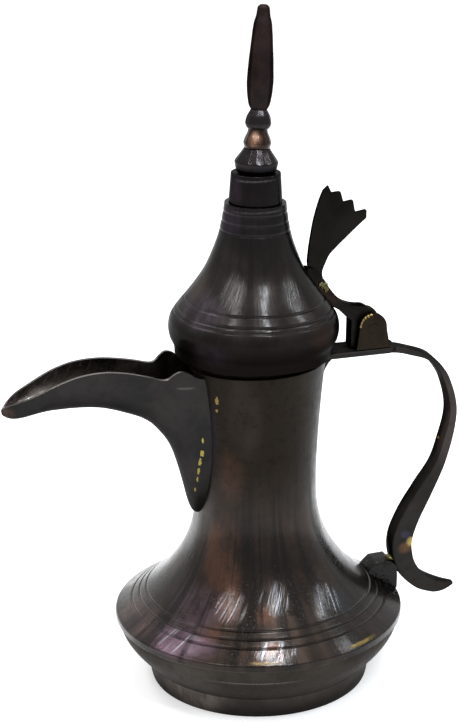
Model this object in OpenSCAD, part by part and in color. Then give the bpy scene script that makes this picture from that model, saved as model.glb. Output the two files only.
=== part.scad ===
// Dallah coffee pot: a spun and brazed metal pot with a hinged, spired lid.
// The origin is on the pot's axis at the plane the foot stands on. +Z is up,
// the spout points along -X and the handle along +X.

/* [Body] */
// Outer radius of the foot ring where it stands
foot_r = 48.6; // [44:0.1:50]
// How much wider the foot ring is at its top
foot_flare = 1.8; // [0:0.1:4]
// Height of the foot ring
foot_h = 9.5; // [7:0.1:12]
// Radial thickness of the foot ring
foot_wall = 3; // [2.4:0.1:4]
// Width of the ring's top land, beside the base disc
foot_land = 2; // [2:0.1:2.3]
// Thickness of the disc that closes the bottom
base_t = 1.6; // [1:0.1:2.5]
// Greatest radius, at the crimped edge between shoulder and bowl
belly_r = 64.5; // [61:0.1:68]
// Height of the crimped edge
belly_z = 32.4; // [30:0.1:36]
// Height of the lip that folds down over the bowl
lip_h = 2.9; // [2:0.1:4]
// Radius of the neck at its narrowest
waist_r = 26.7; // [25:0.1:28]
// Height of the narrowest place
waist_z = 97; // [90:0.5:102]
// Outer radius of the mouth
mouth_r = 31.1; // [30.1:0.1:32]
// Height of the mouth
mouth_z = 149; // [145:0.1:149]
// Thickness of the sheet that body, bowl and lid are spun from
wall = 1.4; // [1:0.1:1.8]
// How strongly the shoulder sweeps in towards the neck
shoulder_power = 2.9; // [2.4:0.1:3.2]
// How late the neck flares out towards the mouth
neck_power = 1.5; // [1.2:0.1:2]

/* [Grooves] */
// Radius of the tool that cuts the turned grooves
groove_r = 0.6; // [0.4:0.05:0.8]
// Depth of the turned grooves
groove_depth = 0.45; // [0.2:0.05:0.6]
// Height of the lowest shoulder groove
shoulder_groove_z = 37.1; // [36.5:0.1:39]
// Rise from one shoulder groove to the next
shoulder_groove_step = 2.45; // [1.8:0.05:3]

/* [Spout] */
// Distance from the pot's axis to the tip
spout_reach = 111.3; // [100:0.1:120]
// Half width of the open channel along its middle
spout_half_w = 11; // [9:0.1:13]
// Half width across the two ears at the neck
spout_ear_half_w = 16.3; // [14:0.1:18]
// Depth of the spout's root below the mouth
spout_drop = 69; // [60:0.5:75]
// Thickness of the spout's sheet
spout_wall = 1.6; // [1.2:0.1:2]
// Half width of the pouring opening cut in the neck
pour_half_w = 10; // [8:0.1:12]
// Depth of the pouring opening below the mouth
pour_depth = 46; // [36:0.5:52]

/* [Handle] */
// Width of the handle
handle_w = 9; // [8:0.1:11]
// Thickness of the handle's top bar
bar_t = 3.4; // [2.8:0.1:4]
// Gap between the top bar and the rim of the level lid
bar_drop = 1; // [0.8:0.1:3]
// Greatest distance of the handle from the pot's axis
handle_reach = 93; // [88:0.1:97]
// Height of the middle of the handle's outer bend
handle_bend_z = 116; // [110:0.5:120]
// How far outside the belly's edge the middle of the handle's lower half comes
handle_stand = 3.1; // [2:0.1:6]
// Depth of the tail below the middle of the bend
handle_drop = 88; // [86:0.5:92]
// Greatest thickness of the handle, in its lower half
handle_t = 9.6; // [7:0.1:11]
// Half width of the table under the hinge ears
table_half_w = 8; // [7.7:0.1:10]
// Thickness of the table
table_t = 2.4; // [1.8:0.1:2.8]
// How far the table reaches past the pin, away from the neck
table_reach = 11.8; // [11:0.1:13]
// Half width of the root plate under the bar
root_half_w = 7; // [5:0.1:9]
// How far the root plate stands off the neck
root_t = 3.8; // [3:0.1:5]
// Height of the root plate
root_h = 5; // [3:0.1:8]
// Half width of the saddle on the shoulder
saddle_half_w = 6.5; // [5.5:0.1:9]
// Height of the saddle's flat top
saddle_top_z = 46; // [44:0.1:49]
// Length of the saddle's flat top, inwards from the handle
saddle_len = 8.3; // [6:0.1:10]
// Radius of the brazing metal between saddle and handle
saddle_braze_r = 2.2; // [1.6:0.1:3]

/* [Hinge] */
// Distance of the hinge pin from the pot's axis
pin_x = 52.3; // [51.5:0.1:54]
// Height of the hinge pin
pin_z = 159; // [158:0.1:161]
// Radius of the hinge pin
pin_r = 2; // [1.6:0.1:2.4]
// Radial running clearance of the lid's knuckle on the pin
pin_clear = 0.05; // [0.02:0.01:0.1]
// Outer radius of the ears round the pin
ear_r = 6.4; // [6:0.1:7.2]
// Thickness of each ear
ear_t = 3.2; // [2.6:0.1:3.6]
// How far the foot of each ear spreads beyond its round top
ear_spread = 1.5; // [0:0.1:2]
// Radius of the knuckle on the lid's strap
knuckle_r = 5.6; // [5:0.1:6.2]
// Width of the lid's strap and knuckle
strap_w = 7.6; // [6:0.1:8]
// Greatest thickness of the strap on the lid's flank
strap_t = 5.2; // [4.4:0.1:6]
// Gap between the strap's heel and the bar that stops it
heel_gap = 0.3; // [0.2:0.05:0.6]
// Distance of the heel's far edge from the pin
heel_reach = 9; // [8.6:0.1:10.5]
// Length of the heel along the bar
heel_len = 6.5; // [5:0.1:8]
// Side clearance between the knuckle and each ear
ear_gap = 0.3; // [0.2:0.05:0.5]
// Radius of the peened ends of the pin
pin_head_r = 2.5; // [2.2:0.1:3.4]
// Height of the peened ends of the pin
pin_head_h = 0.3; // [0.2:0.05:1]

/* [Lid] */
// Greatest radius of the lid
lid_r = 37; // [36:0.1:38]
// Height of the lid's rim above the mouth when the lid is level
lid_gap = 1; // [0.8:0.1:2]
// Height of the dome from its rim to its top
dome_h = 66.6; // [64:0.1:70]
// Radius of the dome's top
dome_top_r = 13.2; // [12.4:0.1:14]
// Angle that the worn hinge leaves the resting lid open
lid_lean = 1.8; // [1:0.1:2]
// Radius of the small drum on top of the dome
drum_r = 11.5; // [11:0.1:12]
// Height of the drum
drum_h = 12.9; // [11:0.1:14]
// How much the drum narrows to its top
drum_taper = 0.9; // [0:0.1:1.5]
// How far the locating ring reaches into the mouth
flange_depth = 6; // [4:0.1:8]
// Radial clearance round the locating ring, for the tilt of the opening lid
flange_clear = 1.9; // [1.7:0.1:2.4]
// Height of the lowest groove above the lid's rim
lid_groove_z = 18.6; // [18:0.1:19.5]
// Distance from the lowest groove to its neighbour; the third lies three times as far
lid_groove_step = 2; // [1.6:0.1:2.4]
// Distance between the grooves under the drum
lid_top_groove_step = 3.9; // [3:0.1:4.4]

/* [Thumb fan] */
// Width of the fan across its points
fan_w = 26; // [22:0.5:28]
// Height of the fan above its foot on the strap
fan_h = 40; // [34:0.5:44]
// Height of the fan's foot above the lid's rim
fan_foot_h = 32; // [30:0.5:34]
// Thickness of the fan
fan_t = 2.4; // [1.8:0.1:3.2]
// Radius of the brazing metal where fan and strap meet
fan_braze_r = 2.6; // [2.2:0.1:3.2]
// How far the brazing metal laps over each side of the strap
braze_lap = 0.4; // [0.3:0.1:0.8]

/* [Finial] */
// Lean of the worn finial away from the lid's axis
finial_lean = 1.9; // [0:0.1:3]
// Radius of the rod that holds the finial together
rod_r = 1.5; // [1.2:0.1:1.8]
// Radius of the collar
collar_r = 9.2; // [8:0.1:10]
// Height of the collar
collar_h = 10.2; // [9:0.1:12]
// Radius of the two beads
bead_r = 5.5; // [5:0.1:6]
// Height of each bead
bead_h = 8.2; // [7:0.1:9]
// Greatest radius of the spindle
spindle_r = 5.6; // [4.6:0.1:6]
// Height of the spindle
spindle_h = 43.4; // [38:0.1:48]
// Radius of the washer under the drum's top
washer_r = 5; // [4:0.1:6.5]
// Thickness of the washer
washer_t = 1.4; // [1:0.1:2]

/* [Hidden] */

$fn = 96;
// Steps of each smooth profile
PROFILE_STEPS = 28;
// Steps between two points of a spline
SPLINE_STEPS = 4;
// Overshoot of cuts, so that no cut ends on a face
CUT = 1;
// Any length that is longer than the pot
FAR = 400;
// Distance within which a profile's points are left out beside a corner
NEAR = 0.2;

bronze = "#3a2b26";
dark = "#2a2120";
copper = "#6b4030";
brass = "#a88a4a";

foot_top_r = foot_r + foot_flare;
rim_z = mouth_z + lid_gap;
bar_top_z = rim_z - bar_drop;
bar_mid_z = bar_top_z - bar_t / 2;
lid_top_z = rim_z + dome_h;
drum_top_z = lid_top_z + drum_h;
handle_sweep = handle_reach - belly_r - handle_stand;
ear_in_y = strap_w / 2 + ear_gap;
ear_out_y = ear_in_y + ear_t;
flange_r = mouth_r - wall - flange_clear;

// ---- Curves ----

// Point on the cubic through a, b, c and d, between b (at 0) and c (at 1)
function cubic(a, b, c, d, t) =
    b + 0.5 * t * ((c - a) + t * ((2 * a - 5 * b + 4 * c - d) + t * (3 * (b - c) + d - a)));
// Smooth line through all the points
function spline(p, steps = SPLINE_STEPS) = let (last = len(p) - 1)
    [for (i = [0 : last - 1], s = [0 : steps - 1])
        cubic(p[max(i - 1, 0)], p[i], p[i + 1], p[min(i + 2, last)], s / steps), p[last]];
// Straight-line lookup of the second value of sorted pairs
function at(pairs, x, i = 0) =
    x <= pairs[0][0] ? pairs[0][1]
    : i >= len(pairs) - 1 ? pairs[len(pairs) - 1][1]
    : x <= pairs[i + 1][0]
        ? pairs[i][1] + (pairs[i + 1][1] - pairs[i][1]) * (x - pairs[i][0]) / (pairs[i + 1][0] - pairs[i][0])
    : at(pairs, x, i + 1);
function reverse(p) = [for (i = [len(p) - 1 : -1 : 0]) p[i]];
function unit(v) = v / norm(v);
// Left-hand normal of an open line at point i
function side(p, i) = let (v = unit(p[min(i + 1, len(p) - 1)] - p[max(i - 1, 0)])) [-v[1], v[0]];
// The line moved sideways by d, to the left of its direction
function moved(p, d) = [for (i = [0 : len(p) - 1]) p[i] + side(p, i) * d];
// One edge of a strap along a line of [x, z, thickness] points, to its left (sign 1) or right (sign -1)
function strap_edge(p, sign) = let (line = [for (q = p) [q[0], q[1]]])
    [for (i = [0 : len(p) - 1]) line[i] + side(line, i) * sign * p[i][2] / 2];

// ---- Body ----

// Outer radius of the neck and shoulder at height z
function body_r(z) = z < waist_z
    ? waist_r + (belly_r - waist_r) * pow(1 - (z - belly_z) / (waist_z - belly_z), shoulder_power)
    : waist_r + (mouth_r - waist_r) * pow((z - waist_z) / (mouth_z - waist_z), neck_power);
// The steps crowd towards the belly, where the curve bends most
shoulder = [for (i = [0 : PROFILE_STEPS])
    let (z = belly_z + (waist_z - belly_z) * pow(i / PROFILE_STEPS, 1.3)) [body_r(z), z]];
neck = [for (i = [1 : PROFILE_STEPS / 2]) let (z = waist_z + (mouth_z - waist_z) * i / (PROFILE_STEPS / 2))
    [body_r(z), z]];
body_line = concat(shoulder, neck);
lip_z = belly_z - lip_h;
bowl_top_z = belly_z - wall;
bowl_r = belly_r - wall;
body_inside = [for (p = moved(body_line, wall)) if (p[0] < bowl_r - wall - NEAR && p[1] < mouth_z - NEAR) p];

// Outer face of the bowl, from the foot ring up to the lip
bowl_line = [for (i = [0 : PROFILE_STEPS / 2]) let (t = i / (PROFILE_STEPS / 2))
    [foot_top_r + (bowl_r - foot_top_r) * sin(90 * t), foot_h + (lip_z - foot_h) * t]];
bowl_slope = (bowl_r - foot_top_r) * PI / 2 / (lip_z - foot_h);
bowl_inside = [for (p = moved(bowl_line, wall)) if (p[1] > foot_h + wall) p];
foot_seat_r = foot_top_r - foot_land;

module turned(line) { rotate_extrude() polygon(line); }
// Flat outline in the pot's middle plane, w wide across it
module upright(w) { rotate([90, 0, 0]) linear_extrude(w, center = true) children(); }
// Everything inside the outer face of the neck and shoulder, and above the mouth
module body_solid() {
    turned(concat([[0, lip_z], [belly_r, lip_z]], body_line, [[mouth_r, FAR], [0, FAR]]));
}
module groove(r, z) {
    rotate_extrude() translate([r + groove_r - groove_depth, z]) circle(groove_r, $fn = 24);
}
// Outline of the opening behind the spout, wide at the mouth and round below
module pour_outline() {
    low_r = pour_half_w / 2;
    low_z = mouth_z - pour_depth;
    polygon([[-pour_half_w, mouth_z + CUT], [pour_half_w, mouth_z + CUT], [low_r, low_z], [-low_r, low_z]]);
    translate([0, low_z]) circle(low_r);
}

module upper_body() {
    color(bronze) difference() {
        turned(concat([[bowl_r, lip_z], [belly_r, lip_z]], body_line, [[mouth_r - wall, mouth_z]],
            reverse(body_inside), [[bowl_r - wall, bowl_top_z], [bowl_r, bowl_top_z]]));
        for (i = [0 : 2]) let (z = shoulder_groove_z + i * shoulder_groove_step) groove(body_r(z), z);
        rotate([90, 0, -90]) linear_extrude(FAR) pour_outline();
    }
}
module lower_bowl() {
    color(bronze) turned(concat(bowl_line, [[bowl_r, bowl_top_z], [bowl_r - wall, bowl_top_z]],
        reverse(bowl_inside), [[foot_top_r - wall * norm([1, bowl_slope]), foot_h]]));
}
module base_disc() {
    color(dark) translate([0, 0, foot_h - base_t]) cylinder(h = base_t, r = foot_seat_r);
}
module foot_ring() {
    inner_r = foot_r - foot_wall;
    color(bronze) turned([[inner_r, 0], [foot_r, 0], [foot_top_r, foot_h], [foot_seat_r, foot_h],
        [foot_seat_r, foot_h - base_t], [inner_r, foot_h - base_t]]);
}

// ---- Spout ----

// The spout's rim as [share of the reach, share of the drop above the mouth], from neck to tip
SPOUT_RIM = [[-0.11, -0.043], [-0.02, -0.02], [0.02, 0.012], [0.065, 0.029], [0.1, 0.009], [0.135, -0.022],
    [0.175, -0.02], [0.24, 0.004], [0.34, 0.033], [0.46, 0.052], [0.59, 0.043], [0.71, 0.003],
    [0.825, -0.058], [0.91, -0.101], [0.96, -0.133], [1, -0.171]];
// Share of the ears' extra width, along the reach
SPOUT_EAR = [[0, 1], [0.05, 0.95], [0.125, 0.57], [0.165, 0.45], [0.24, 0.28], [0.34, 0.1], [0.45, 0]];
// Share of the width that the narrowing tip leaves, along the reach
SPOUT_TIP = [[0.6, 1], [0.71, 0.97], [0.825, 0.86], [0.91, 0.64], [0.96, 0.38], [0.99, 0.14], [1, 0.05]];
// The spout's lowest line as [share of the reach, share of the drop below the mouth], from tip to root
SPOUT_KEEL = [[1, 0.186], [0.993, 0.206], [0.955, 0.229], [0.895, 0.229], [0.77, 0.204], [0.66, 0.2],
    [0.55, 0.207], [0.44, 0.23], [0.295, 0.29], [0.222, 0.336], [0.174, 0.387], [0.117, 0.475],
    [0.08, 0.565], [0.048, 0.688], [0.022, 0.812], [0, 0.925], [-0.022, 0.985], [-0.055, 1.003],
    [-0.1, 1.006]];
SPOUT_SIDES = 14;

spout_run = spout_reach - mouth_r;
function spout_s(x) = (-x - mouth_r) / spout_run;
function spout_rim_z(x) = mouth_z + spout_drop * at(SPOUT_RIM, spout_s(x));
function spout_half(x) = let (s = spout_s(x))
    (spout_half_w + (spout_ear_half_w - spout_half_w) * at(SPOUT_EAR, s)) * at(SPOUT_TIP, s);
spout_keel = [for (p = spline(SPOUT_KEEL, 2)) [-mouth_r - spout_run * p[0], mouth_z - spout_drop * p[1]]];
// U-shaped section hanging from the rim down to keel point k, w wide on each side
function spout_section(k, w) = [for (j = [0 : SPOUT_SIDES]) let (a = 180 * j / SPOUT_SIDES - 90)
    [k[0], w * sin(a), k[1] + (spout_rim_z(k[0]) - k[1]) * (1 - cos(a))]];
spout_outside = [for (k = spout_keel) spout_section(k, spout_half(k[0]))];
spout_inside = [for (k = moved(spout_keel, spout_wall))
    spout_section(k, max(NEAR, spout_half(k[0]) - spout_wall))];

// Two triangles for the four corners a, b, c and d
function quad(a, b, c, d) = [[a, b, c], [a, c, d]];
// Closed sheet between two grids of points of the same size
module sheet(outer, inner) {
    rows = len(outer);
    cols = len(outer[0]);
    all = rows * cols;
    function id(i, j) = i * cols + j;
    faces = concat(
        [for (i = [0 : rows - 2], j = [0 : cols - 2])
            each quad(id(i, j), id(i, j + 1), id(i + 1, j + 1), id(i + 1, j))],
        [for (i = [0 : rows - 2], j = [0 : cols - 2])
            each quad(all + id(i, j), all + id(i + 1, j), all + id(i + 1, j + 1), all + id(i, j + 1))],
        [for (i = [0 : rows - 2]) each quad(id(i, 0), id(i + 1, 0), all + id(i + 1, 0), all + id(i, 0))],
        [for (i = [0 : rows - 2])
            let (k = id(i, cols - 1), next = id(i + 1, cols - 1)) each quad(k, all + k, all + next, next)],
        [for (j = [0 : cols - 2]) each quad(id(0, j), all + id(0, j), all + id(0, j + 1), id(0, j + 1))],
        [for (j = [0 : cols - 2]) each quad(id(rows - 1, j), id(rows - 1, j + 1),
            all + id(rows - 1, j + 1), all + id(rows - 1, j))]);
    polyhedron(points = concat([for (row = outer) each row], [for (row = inner) each row]), faces = faces);
}
module spout() {
    color(dark) difference() {
        sheet(spout_outside, spout_inside);
        body_solid();
    }
}

// ---- Handle ----

// The bend from the hinge outwards, as shares of its run, of its drop and of the bar's thickness
HANDLE_BEND = [[0.22, 0.013, 0.82], [0.51, 0.105, 0.71], [0.7, 0.22, 0.74], [0.85, 0.47, 0.85],
    [0.94, 0.81, 0.94], [0.96, 1.1, 1]];
// The lower half down to the tail, as shares of the sweep, of the drop and of the greatest thickness
HANDLE_GRIP = [[0.16, 0.17, 0.44], [0.32, 0.307, 0.5], [0.575, 0.438, 0.75], [0.85, 0.58, 0.92],
    [1, 0.705, 1], [0.945, 0.83, 0.96], [0.72, 0.924, 0.79], [0.44, 0.975, 0.64], [0.2, 0.994, 0.45],
    [-0.03, 0.993, 0.12]];
// Middle line of the handle as [x, z, thickness], from the neck round the bend to the tail
handle_line = spline(concat(
    [[mouth_r - 2 * bar_t, bar_mid_z, bar_t], [pin_x - table_reach, bar_mid_z, bar_t]],
    [for (p = HANDLE_BEND) [pin_x + (handle_reach - pin_x) * p[0],
        bar_mid_z - (bar_mid_z - handle_bend_z) * p[1], bar_t * p[2]]],
    [for (p = HANDLE_GRIP) [handle_reach - handle_sweep * p[0], handle_bend_z - handle_drop * p[1],
        handle_t * p[2]]]));

// One of the two wedges that point the tail, seen from above, on the side of the given sign
module tail_wedge(sign) {
    half_w = handle_w / 2;
    end_x = handle_reach + bar_t;
    translate([0, 0, handle_bend_z - 2 * handle_drop]) linear_extrude(1.15 * handle_drop)
        polygon([[end_x - 4 * bar_t, sign * half_w], [end_x - 2 * bar_t, sign * half_w * 0.85],
            [end_x, 0], [end_x, sign * handle_w], [end_x - 4 * bar_t, sign * handle_w]]);
}
module handle_bow() {
    difference() {
        upright(handle_w) polygon(concat(strap_edge(handle_line, 1), reverse(strap_edge(handle_line, -1))));
        for (sign = [-1, 1]) tail_wedge(sign);
    }
}
// Widening of the bar that the hinge ears stand on, from the neck to past the pin
module hinge_table() {
    in_x = mouth_r - 2 * bar_t;
    end_x = pin_x + table_reach;
    flat_x = end_x - (table_half_w - handle_w / 2);
    translate([0, 0, bar_top_z - table_t]) linear_extrude(table_t)
        polygon([[in_x, -table_half_w], [flat_x, -table_half_w], [end_x, -handle_w / 2],
            [end_x, handle_w / 2], [flat_x, table_half_w], [in_x, table_half_w]]);
}
module handle() {
    color(dark) difference() {
        union() {
            handle_bow();
            hinge_table();
        }
        body_solid();
    }
}
module handle_root_plate() {
    top_z = bar_top_z - bar_t;
    low_z = top_z - root_h;
    color(dark) difference() {
        intersection() {
            turned([[0, low_z], [body_r(low_z) + wall, low_z], [mouth_r + root_t, top_z], [0, top_z]]);
            translate([0, -root_half_w, low_z]) cube([FAR, 2 * root_half_w, root_h]);
        }
        body_solid();
    }
}
// Innermost place of the handle's lower half
handle_in_x = min([for (p = handle_line) if (p[1] < handle_bend_z - handle_drop / 2) p[0] - p[2] / 2]);
// How far the saddle reaches into the handle's side, and the size of its worn edges
SADDLE_GRIP = 1.8;
SADDLE_EDGE = 2.8;
// The saddle's side profile; its foot ends under the handle or at the belly's edge, and the handle
// and the shoulder trim the rest
module saddle_profile() {
    out_x = handle_in_x + SADDLE_GRIP;
    in_x = handle_in_x - saddle_len;
    low_z = belly_z + NEAR;
    low_x = min(out_x, belly_r) - NEAR;
    polygon([[waist_r, low_z], [low_x, low_z], [out_x, saddle_top_z - saddle_len],
        [out_x, saddle_top_z - SADDLE_EDGE], [out_x - SADDLE_EDGE, saddle_top_z], [in_x, saddle_top_z],
        [in_x - SADDLE_EDGE, saddle_top_z - SADDLE_EDGE], [waist_r, saddle_top_z - 2 * SADDLE_EDGE]]);
}
module handle_saddle() {
    color(dark) difference() {
        upright(2 * saddle_half_w) saddle_profile();
        body_solid();
        handle_bow();
    }
}
module saddle_braze() {
    color(brass) difference() {
        translate([handle_in_x - saddle_braze_r / 2, 0, saddle_top_z + NEAR]) sphere(saddle_braze_r);
        handle_saddle();
        handle_bow();
    }
}

// ---- Hinge ----

// Outline of one ear round the pin, standing on the bar
module ear_outline() {
    difference() {
        union() {
            translate([pin_x, pin_z]) circle(ear_r);
            polygon([[pin_x - ear_r - ear_spread, bar_top_z], [pin_x + ear_r + ear_spread, bar_top_z],
                     [pin_x + ear_r, pin_z], [pin_x - ear_r, pin_z]]);
        }
        translate([pin_x, pin_z]) circle(pin_r);
    }
}
// A round bar of radius r on the pin's axis, with its middle at at_y
module on_pin(length, r, at_y = 0) {
    translate([pin_x, at_y, pin_z]) rotate([90, 0, 0]) cylinder(h = length, r = r, center = true);
}
module hinge_ear(at_y) { color(dark) translate([0, at_y, 0]) upright(ear_t) ear_outline(); }
module hinge_ear_near() { hinge_ear(-(ear_in_y + ear_t / 2)); }
module hinge_ear_far() { hinge_ear(ear_in_y + ear_t / 2); }
module hinge_pin() {
    color(brass) {
        on_pin(2 * ear_out_y, pin_r);
        for (end = [-1, 1]) on_pin(pin_head_h, pin_head_r, end * (ear_out_y + pin_head_h / 2));
    }
}

// ---- Lid ----

// Dome from rim to top as [share of the widening from top to greatest radius, share of the height]
LID_CURVE = [[0.88, 0], [0.9, 0.06], [0.975, 0.12], [1, 0.185], [0.965, 0.25], [0.85, 0.315], [0.685, 0.39],
    [0.515, 0.47], [0.355, 0.56], [0.235, 0.655], [0.11, 0.78], [0.04, 0.9], [0, 1]];
lid_line = [for (p = spline(LID_CURVE)) [dome_top_r + (lid_r - dome_top_r) * p[0], rim_z + dome_h * p[1]]];
lid_rim_r = lid_line[0][0];
lid_inside = [for (p = moved(lid_line, wall)) if (p[1] > rim_z + 2 * wall && p[1] < lid_top_z - wall) p];
function lid_r_at(z) = at([for (p = lid_line) [p[1], p[0]]], z);
// Heights of the lid's turned grooves above its rim: three over the bulge, three under the drum
lid_grooves = concat([for (i = [0, 1, 3]) lid_groove_z + i * lid_groove_step],
    [for (i = [1 : 3]) dome_h - i * lid_top_groove_step]);
drum_in_r = drum_r - wall;

// Puts a piece of the lid where the resting lid leaves it
module on_lid() {
    translate([pin_x, 0, pin_z]) rotate([0, lid_lean, 0]) translate([-pin_x, 0, -pin_z]) children();
}
module lid_solid() { turned(concat([[0, rim_z]], lid_line, [[0, lid_top_z]])); }
module lid_dome() {
    color(bronze) on_lid() difference() {
        turned(concat(lid_line, [[drum_in_r, lid_top_z], [drum_in_r, lid_top_z - wall]],
            reverse(lid_inside), [[lid_rim_r - wall, rim_z + wall], [lid_rim_r - wall, rim_z]]));
        for (h = lid_grooves) groove(lid_r_at(rim_z + h), rim_z + h);
    }
}
module lid_drum() {
    color(bronze) difference() {
        on_lid() turned([[drum_in_r, lid_top_z], [drum_r, lid_top_z], [drum_r - drum_taper, drum_top_z],
            [0, drum_top_z], [0, drum_top_z - wall], [drum_in_r - drum_taper, drum_top_z - wall]]);
        finial_rod();
    }
}
module lid_flange() {
    low_z = mouth_z - flange_depth;
    color(bronze) on_lid() turned([[flange_r - wall, rim_z + wall], [flange_r - wall, low_z],
        [flange_r, low_z], [flange_r, rim_z], [lid_rim_r - wall, rim_z], [lid_rim_r - wall, rim_z + wall]]);
}

// Upper part of the strap, from its thin end behind the fan, as shares: [distance off the flank / greatest
// thickness, height / height of the fan's foot, thickness / greatest thickness]
STRAP_ON_LID = [[0.12, 1.13, 0.22], [0.3, 1.06, 0.8], [0.35, 0.94, 1], [0.24, 0.79, 0.97],
    [0.34, 0.66, 0.89]];
// Lower part of the strap as [offset from the pin in x, offset in z, thickness], in knuckle radii
STRAP_TO_PIN = [[-2.41, 1.7, 0.72], [-1.8, 1.29, 1]];
// The hump over the strap's heel, as offsets from the pin in knuckle radii
STRAP_HUMP = [[-0.98, 1.61], [-0.42, 1.54], [0.18, 1.16], [0.8, 0.5], [0.11, -0.54]];
// Step of the strap's line where the fan is brazed on
BRAZE_STEP = 10;
strap_line = spline(concat(
    [for (p = STRAP_ON_LID) let (z = rim_z + fan_foot_h * p[1])
        [lid_r_at(z) + strap_t * p[0], z, strap_t * p[2]]],
    [for (p = STRAP_TO_PIN) [pin_x + knuckle_r * p[0], pin_z + knuckle_r * p[1], knuckle_r * p[2]]]));
// Place of the brazing metal just under the fan, a little outside the strap's middle line
braze_at = let (middle = strap_line[BRAZE_STEP], edge = strap_edge(strap_line, 1)[BRAZE_STEP])
    [for (i = [0, 1]) 0.75 * middle[i] + 0.25 * edge[i]];
module strap_outline() {
    heel_z = bar_top_z + heel_gap;
    heel_x = pin_x - heel_reach;
    polygon(concat(strap_edge(strap_line, 1), [for (p = STRAP_HUMP) [pin_x, pin_z] + knuckle_r * p],
        [[heel_x + heel_len, heel_z], [heel_x, heel_z], [heel_x, pin_z + knuckle_r / 2]],
        reverse(strap_edge(strap_line, -1))));
}
module lid_strap() {
    color(dark) on_lid() difference() {
        union() {
            upright(strap_w) strap_outline();
            on_pin(strap_w, knuckle_r);
        }
        lid_solid();
        on_pin(2 * strap_w, pin_r + pin_clear);
    }
}

// The fan's outline as shares of its width and height: up the back, over the points, down the front
FAN_BACK = [[0.1, -0.04], [0, 0.13], [0.01, 0.3], [0.04, 0.45], [0.085, 0.63], [0.16, 0.82], [0.235, 0.95]];
FAN_POINTS = [[0.32, 1], [0.38, 0.92], [0.535, 0.93], [0.59, 0.81], [0.755, 0.83], [0.8, 0.69], [1, 0.715],
    [1, 0.62]];
FAN_FRONT = [[0.865, 0.545], [0.665, 0.425], [0.51, 0.33], [0.37, 0.235], [0.3, 0.14], [0.25, 0.05],
    [0.27, -0.04]];
fan_foot = [lid_r_at(rim_z + fan_foot_h) - fan_t / 2, rim_z + fan_foot_h];
fan_line = [for (p = concat(spline(FAN_BACK), FAN_POINTS, spline(FAN_FRONT)))
    fan_foot + [p[0] * fan_w, p[1] * fan_h]];
module thumb_fan() {
    color(dark) on_lid() difference() {
        upright(fan_t) polygon(fan_line);
        upright(strap_w + CUT) strap_outline();
        lid_solid();
    }
}
module fan_braze() {
    color(brass) on_lid() difference() {
        translate([braze_at[0], 0, braze_at[1]]) rotate([90, 0, 0])
            cylinder(h = strap_w + 2 * braze_lap, r = fan_braze_r, center = true);
        upright(strap_w + CUT) strap_outline();
        upright(fan_t) polygon(fan_line);
        lid_solid();
    }
}

// ---- Finial ----

// Turned profiles as [share of the greatest radius, share of the height]
COLLAR_CURVE = [[0.86, 0], [0.94, 0.14], [0.99, 0.32], [1, 0.46], [0.86, 0.66], [0.7, 0.86], [0.61, 1]];
LOWER_BEAD_CURVE = [[0.95, 0], [1.05, 0.16], [1.07, 0.34], [0.95, 0.58], [0.8, 0.8], [0.75, 1]];
UPPER_BEAD_CURVE = [[0.78, 0], [0.96, 0.16], [1.01, 0.4], [0.9, 0.68], [0.64, 1]];
SPINDLE_CURVE = [[0.62, 0], [0.8, 0.045], [0.92, 0.13], [0.98, 0.21], [1, 0.29], [0.975, 0.36],
    [0.92, 0.485], [0.83, 0.625], [0.755, 0.74], [0.68, 0.825], [0.53, 0.895], [0.475, 0.95], [0.42, 0.98],
    [0.25, 1]];
ROD_GRIP = 0.6;
function finial_curve(curve, r, z, h) = [for (p = spline(curve)) [r * p[0], z + h * p[1]]];

// Puts a piece of the finial where the lean leaves it, counting heights from the drum's top
module on_finial() {
    on_lid() translate([0, 0, drum_top_z]) rotate([0, finial_lean, 0]) children();
}
// A bead from height z, bored for the rod
module bead(curve, r, z, h) {
    turned(concat([[rod_r, z]], finial_curve(curve, r, z, h), [[rod_r, z + h]]));
}
upper_bead_z = collar_h + bead_h;
spindle_z = upper_bead_z + bead_h;
rod_top_z = spindle_z + spindle_h * ROD_GRIP;
module finial_collar() {
    color(bronze) difference() {
        on_finial() turned(concat([[rod_r, -CUT], [collar_r * COLLAR_CURVE[0][0], -CUT]],
            finial_curve(COLLAR_CURVE, collar_r, 0, collar_h), [[rod_r, collar_h]]));
        on_lid() translate([0, 0, drum_top_z - FAR]) cylinder(h = FAR, r = 2 * collar_r);
    }
}
module finial_lower_bead() {
    color(copper) on_finial() bead(LOWER_BEAD_CURVE, bead_r, collar_h, bead_h);
}
module finial_upper_bead() {
    color(bronze) on_finial() bead(UPPER_BEAD_CURVE, bead_r, upper_bead_z, bead_h);
}
module finial_spindle() {
    color(dark) on_finial() turned(concat([[rod_r, spindle_z]],
        finial_curve(SPINDLE_CURVE, spindle_r, spindle_z, spindle_h),
        [[0, spindle_z + spindle_h], [0, rod_top_z], [rod_r, rod_top_z]]));
}
// The rod ends below the washer, where its end is peened
rod_low_z = -wall - 2 * washer_t;
module finial_rod() {
    color(dark) on_finial() translate([0, 0, rod_low_z]) cylinder(h = rod_top_z - rod_low_z, r = rod_r);
}
module finial_washer() {
    color(dark) difference() {
        on_lid() translate([0, 0, drum_top_z - wall - washer_t]) cylinder(h = washer_t, r = washer_r);
        finial_rod();
    }
}

upper_body();
lower_bowl();
base_disc();
foot_ring();
spout();
handle();
handle_root_plate();
handle_saddle();
saddle_braze();
hinge_ear_near();
hinge_ear_far();
hinge_pin();
lid_dome();
lid_drum();
lid_flange();
lid_strap();
thumb_fan();
fan_braze();
finial_rod();
finial_washer();
finial_collar();
finial_lower_bead();
finial_upper_bead();
finial_spindle();
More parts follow.
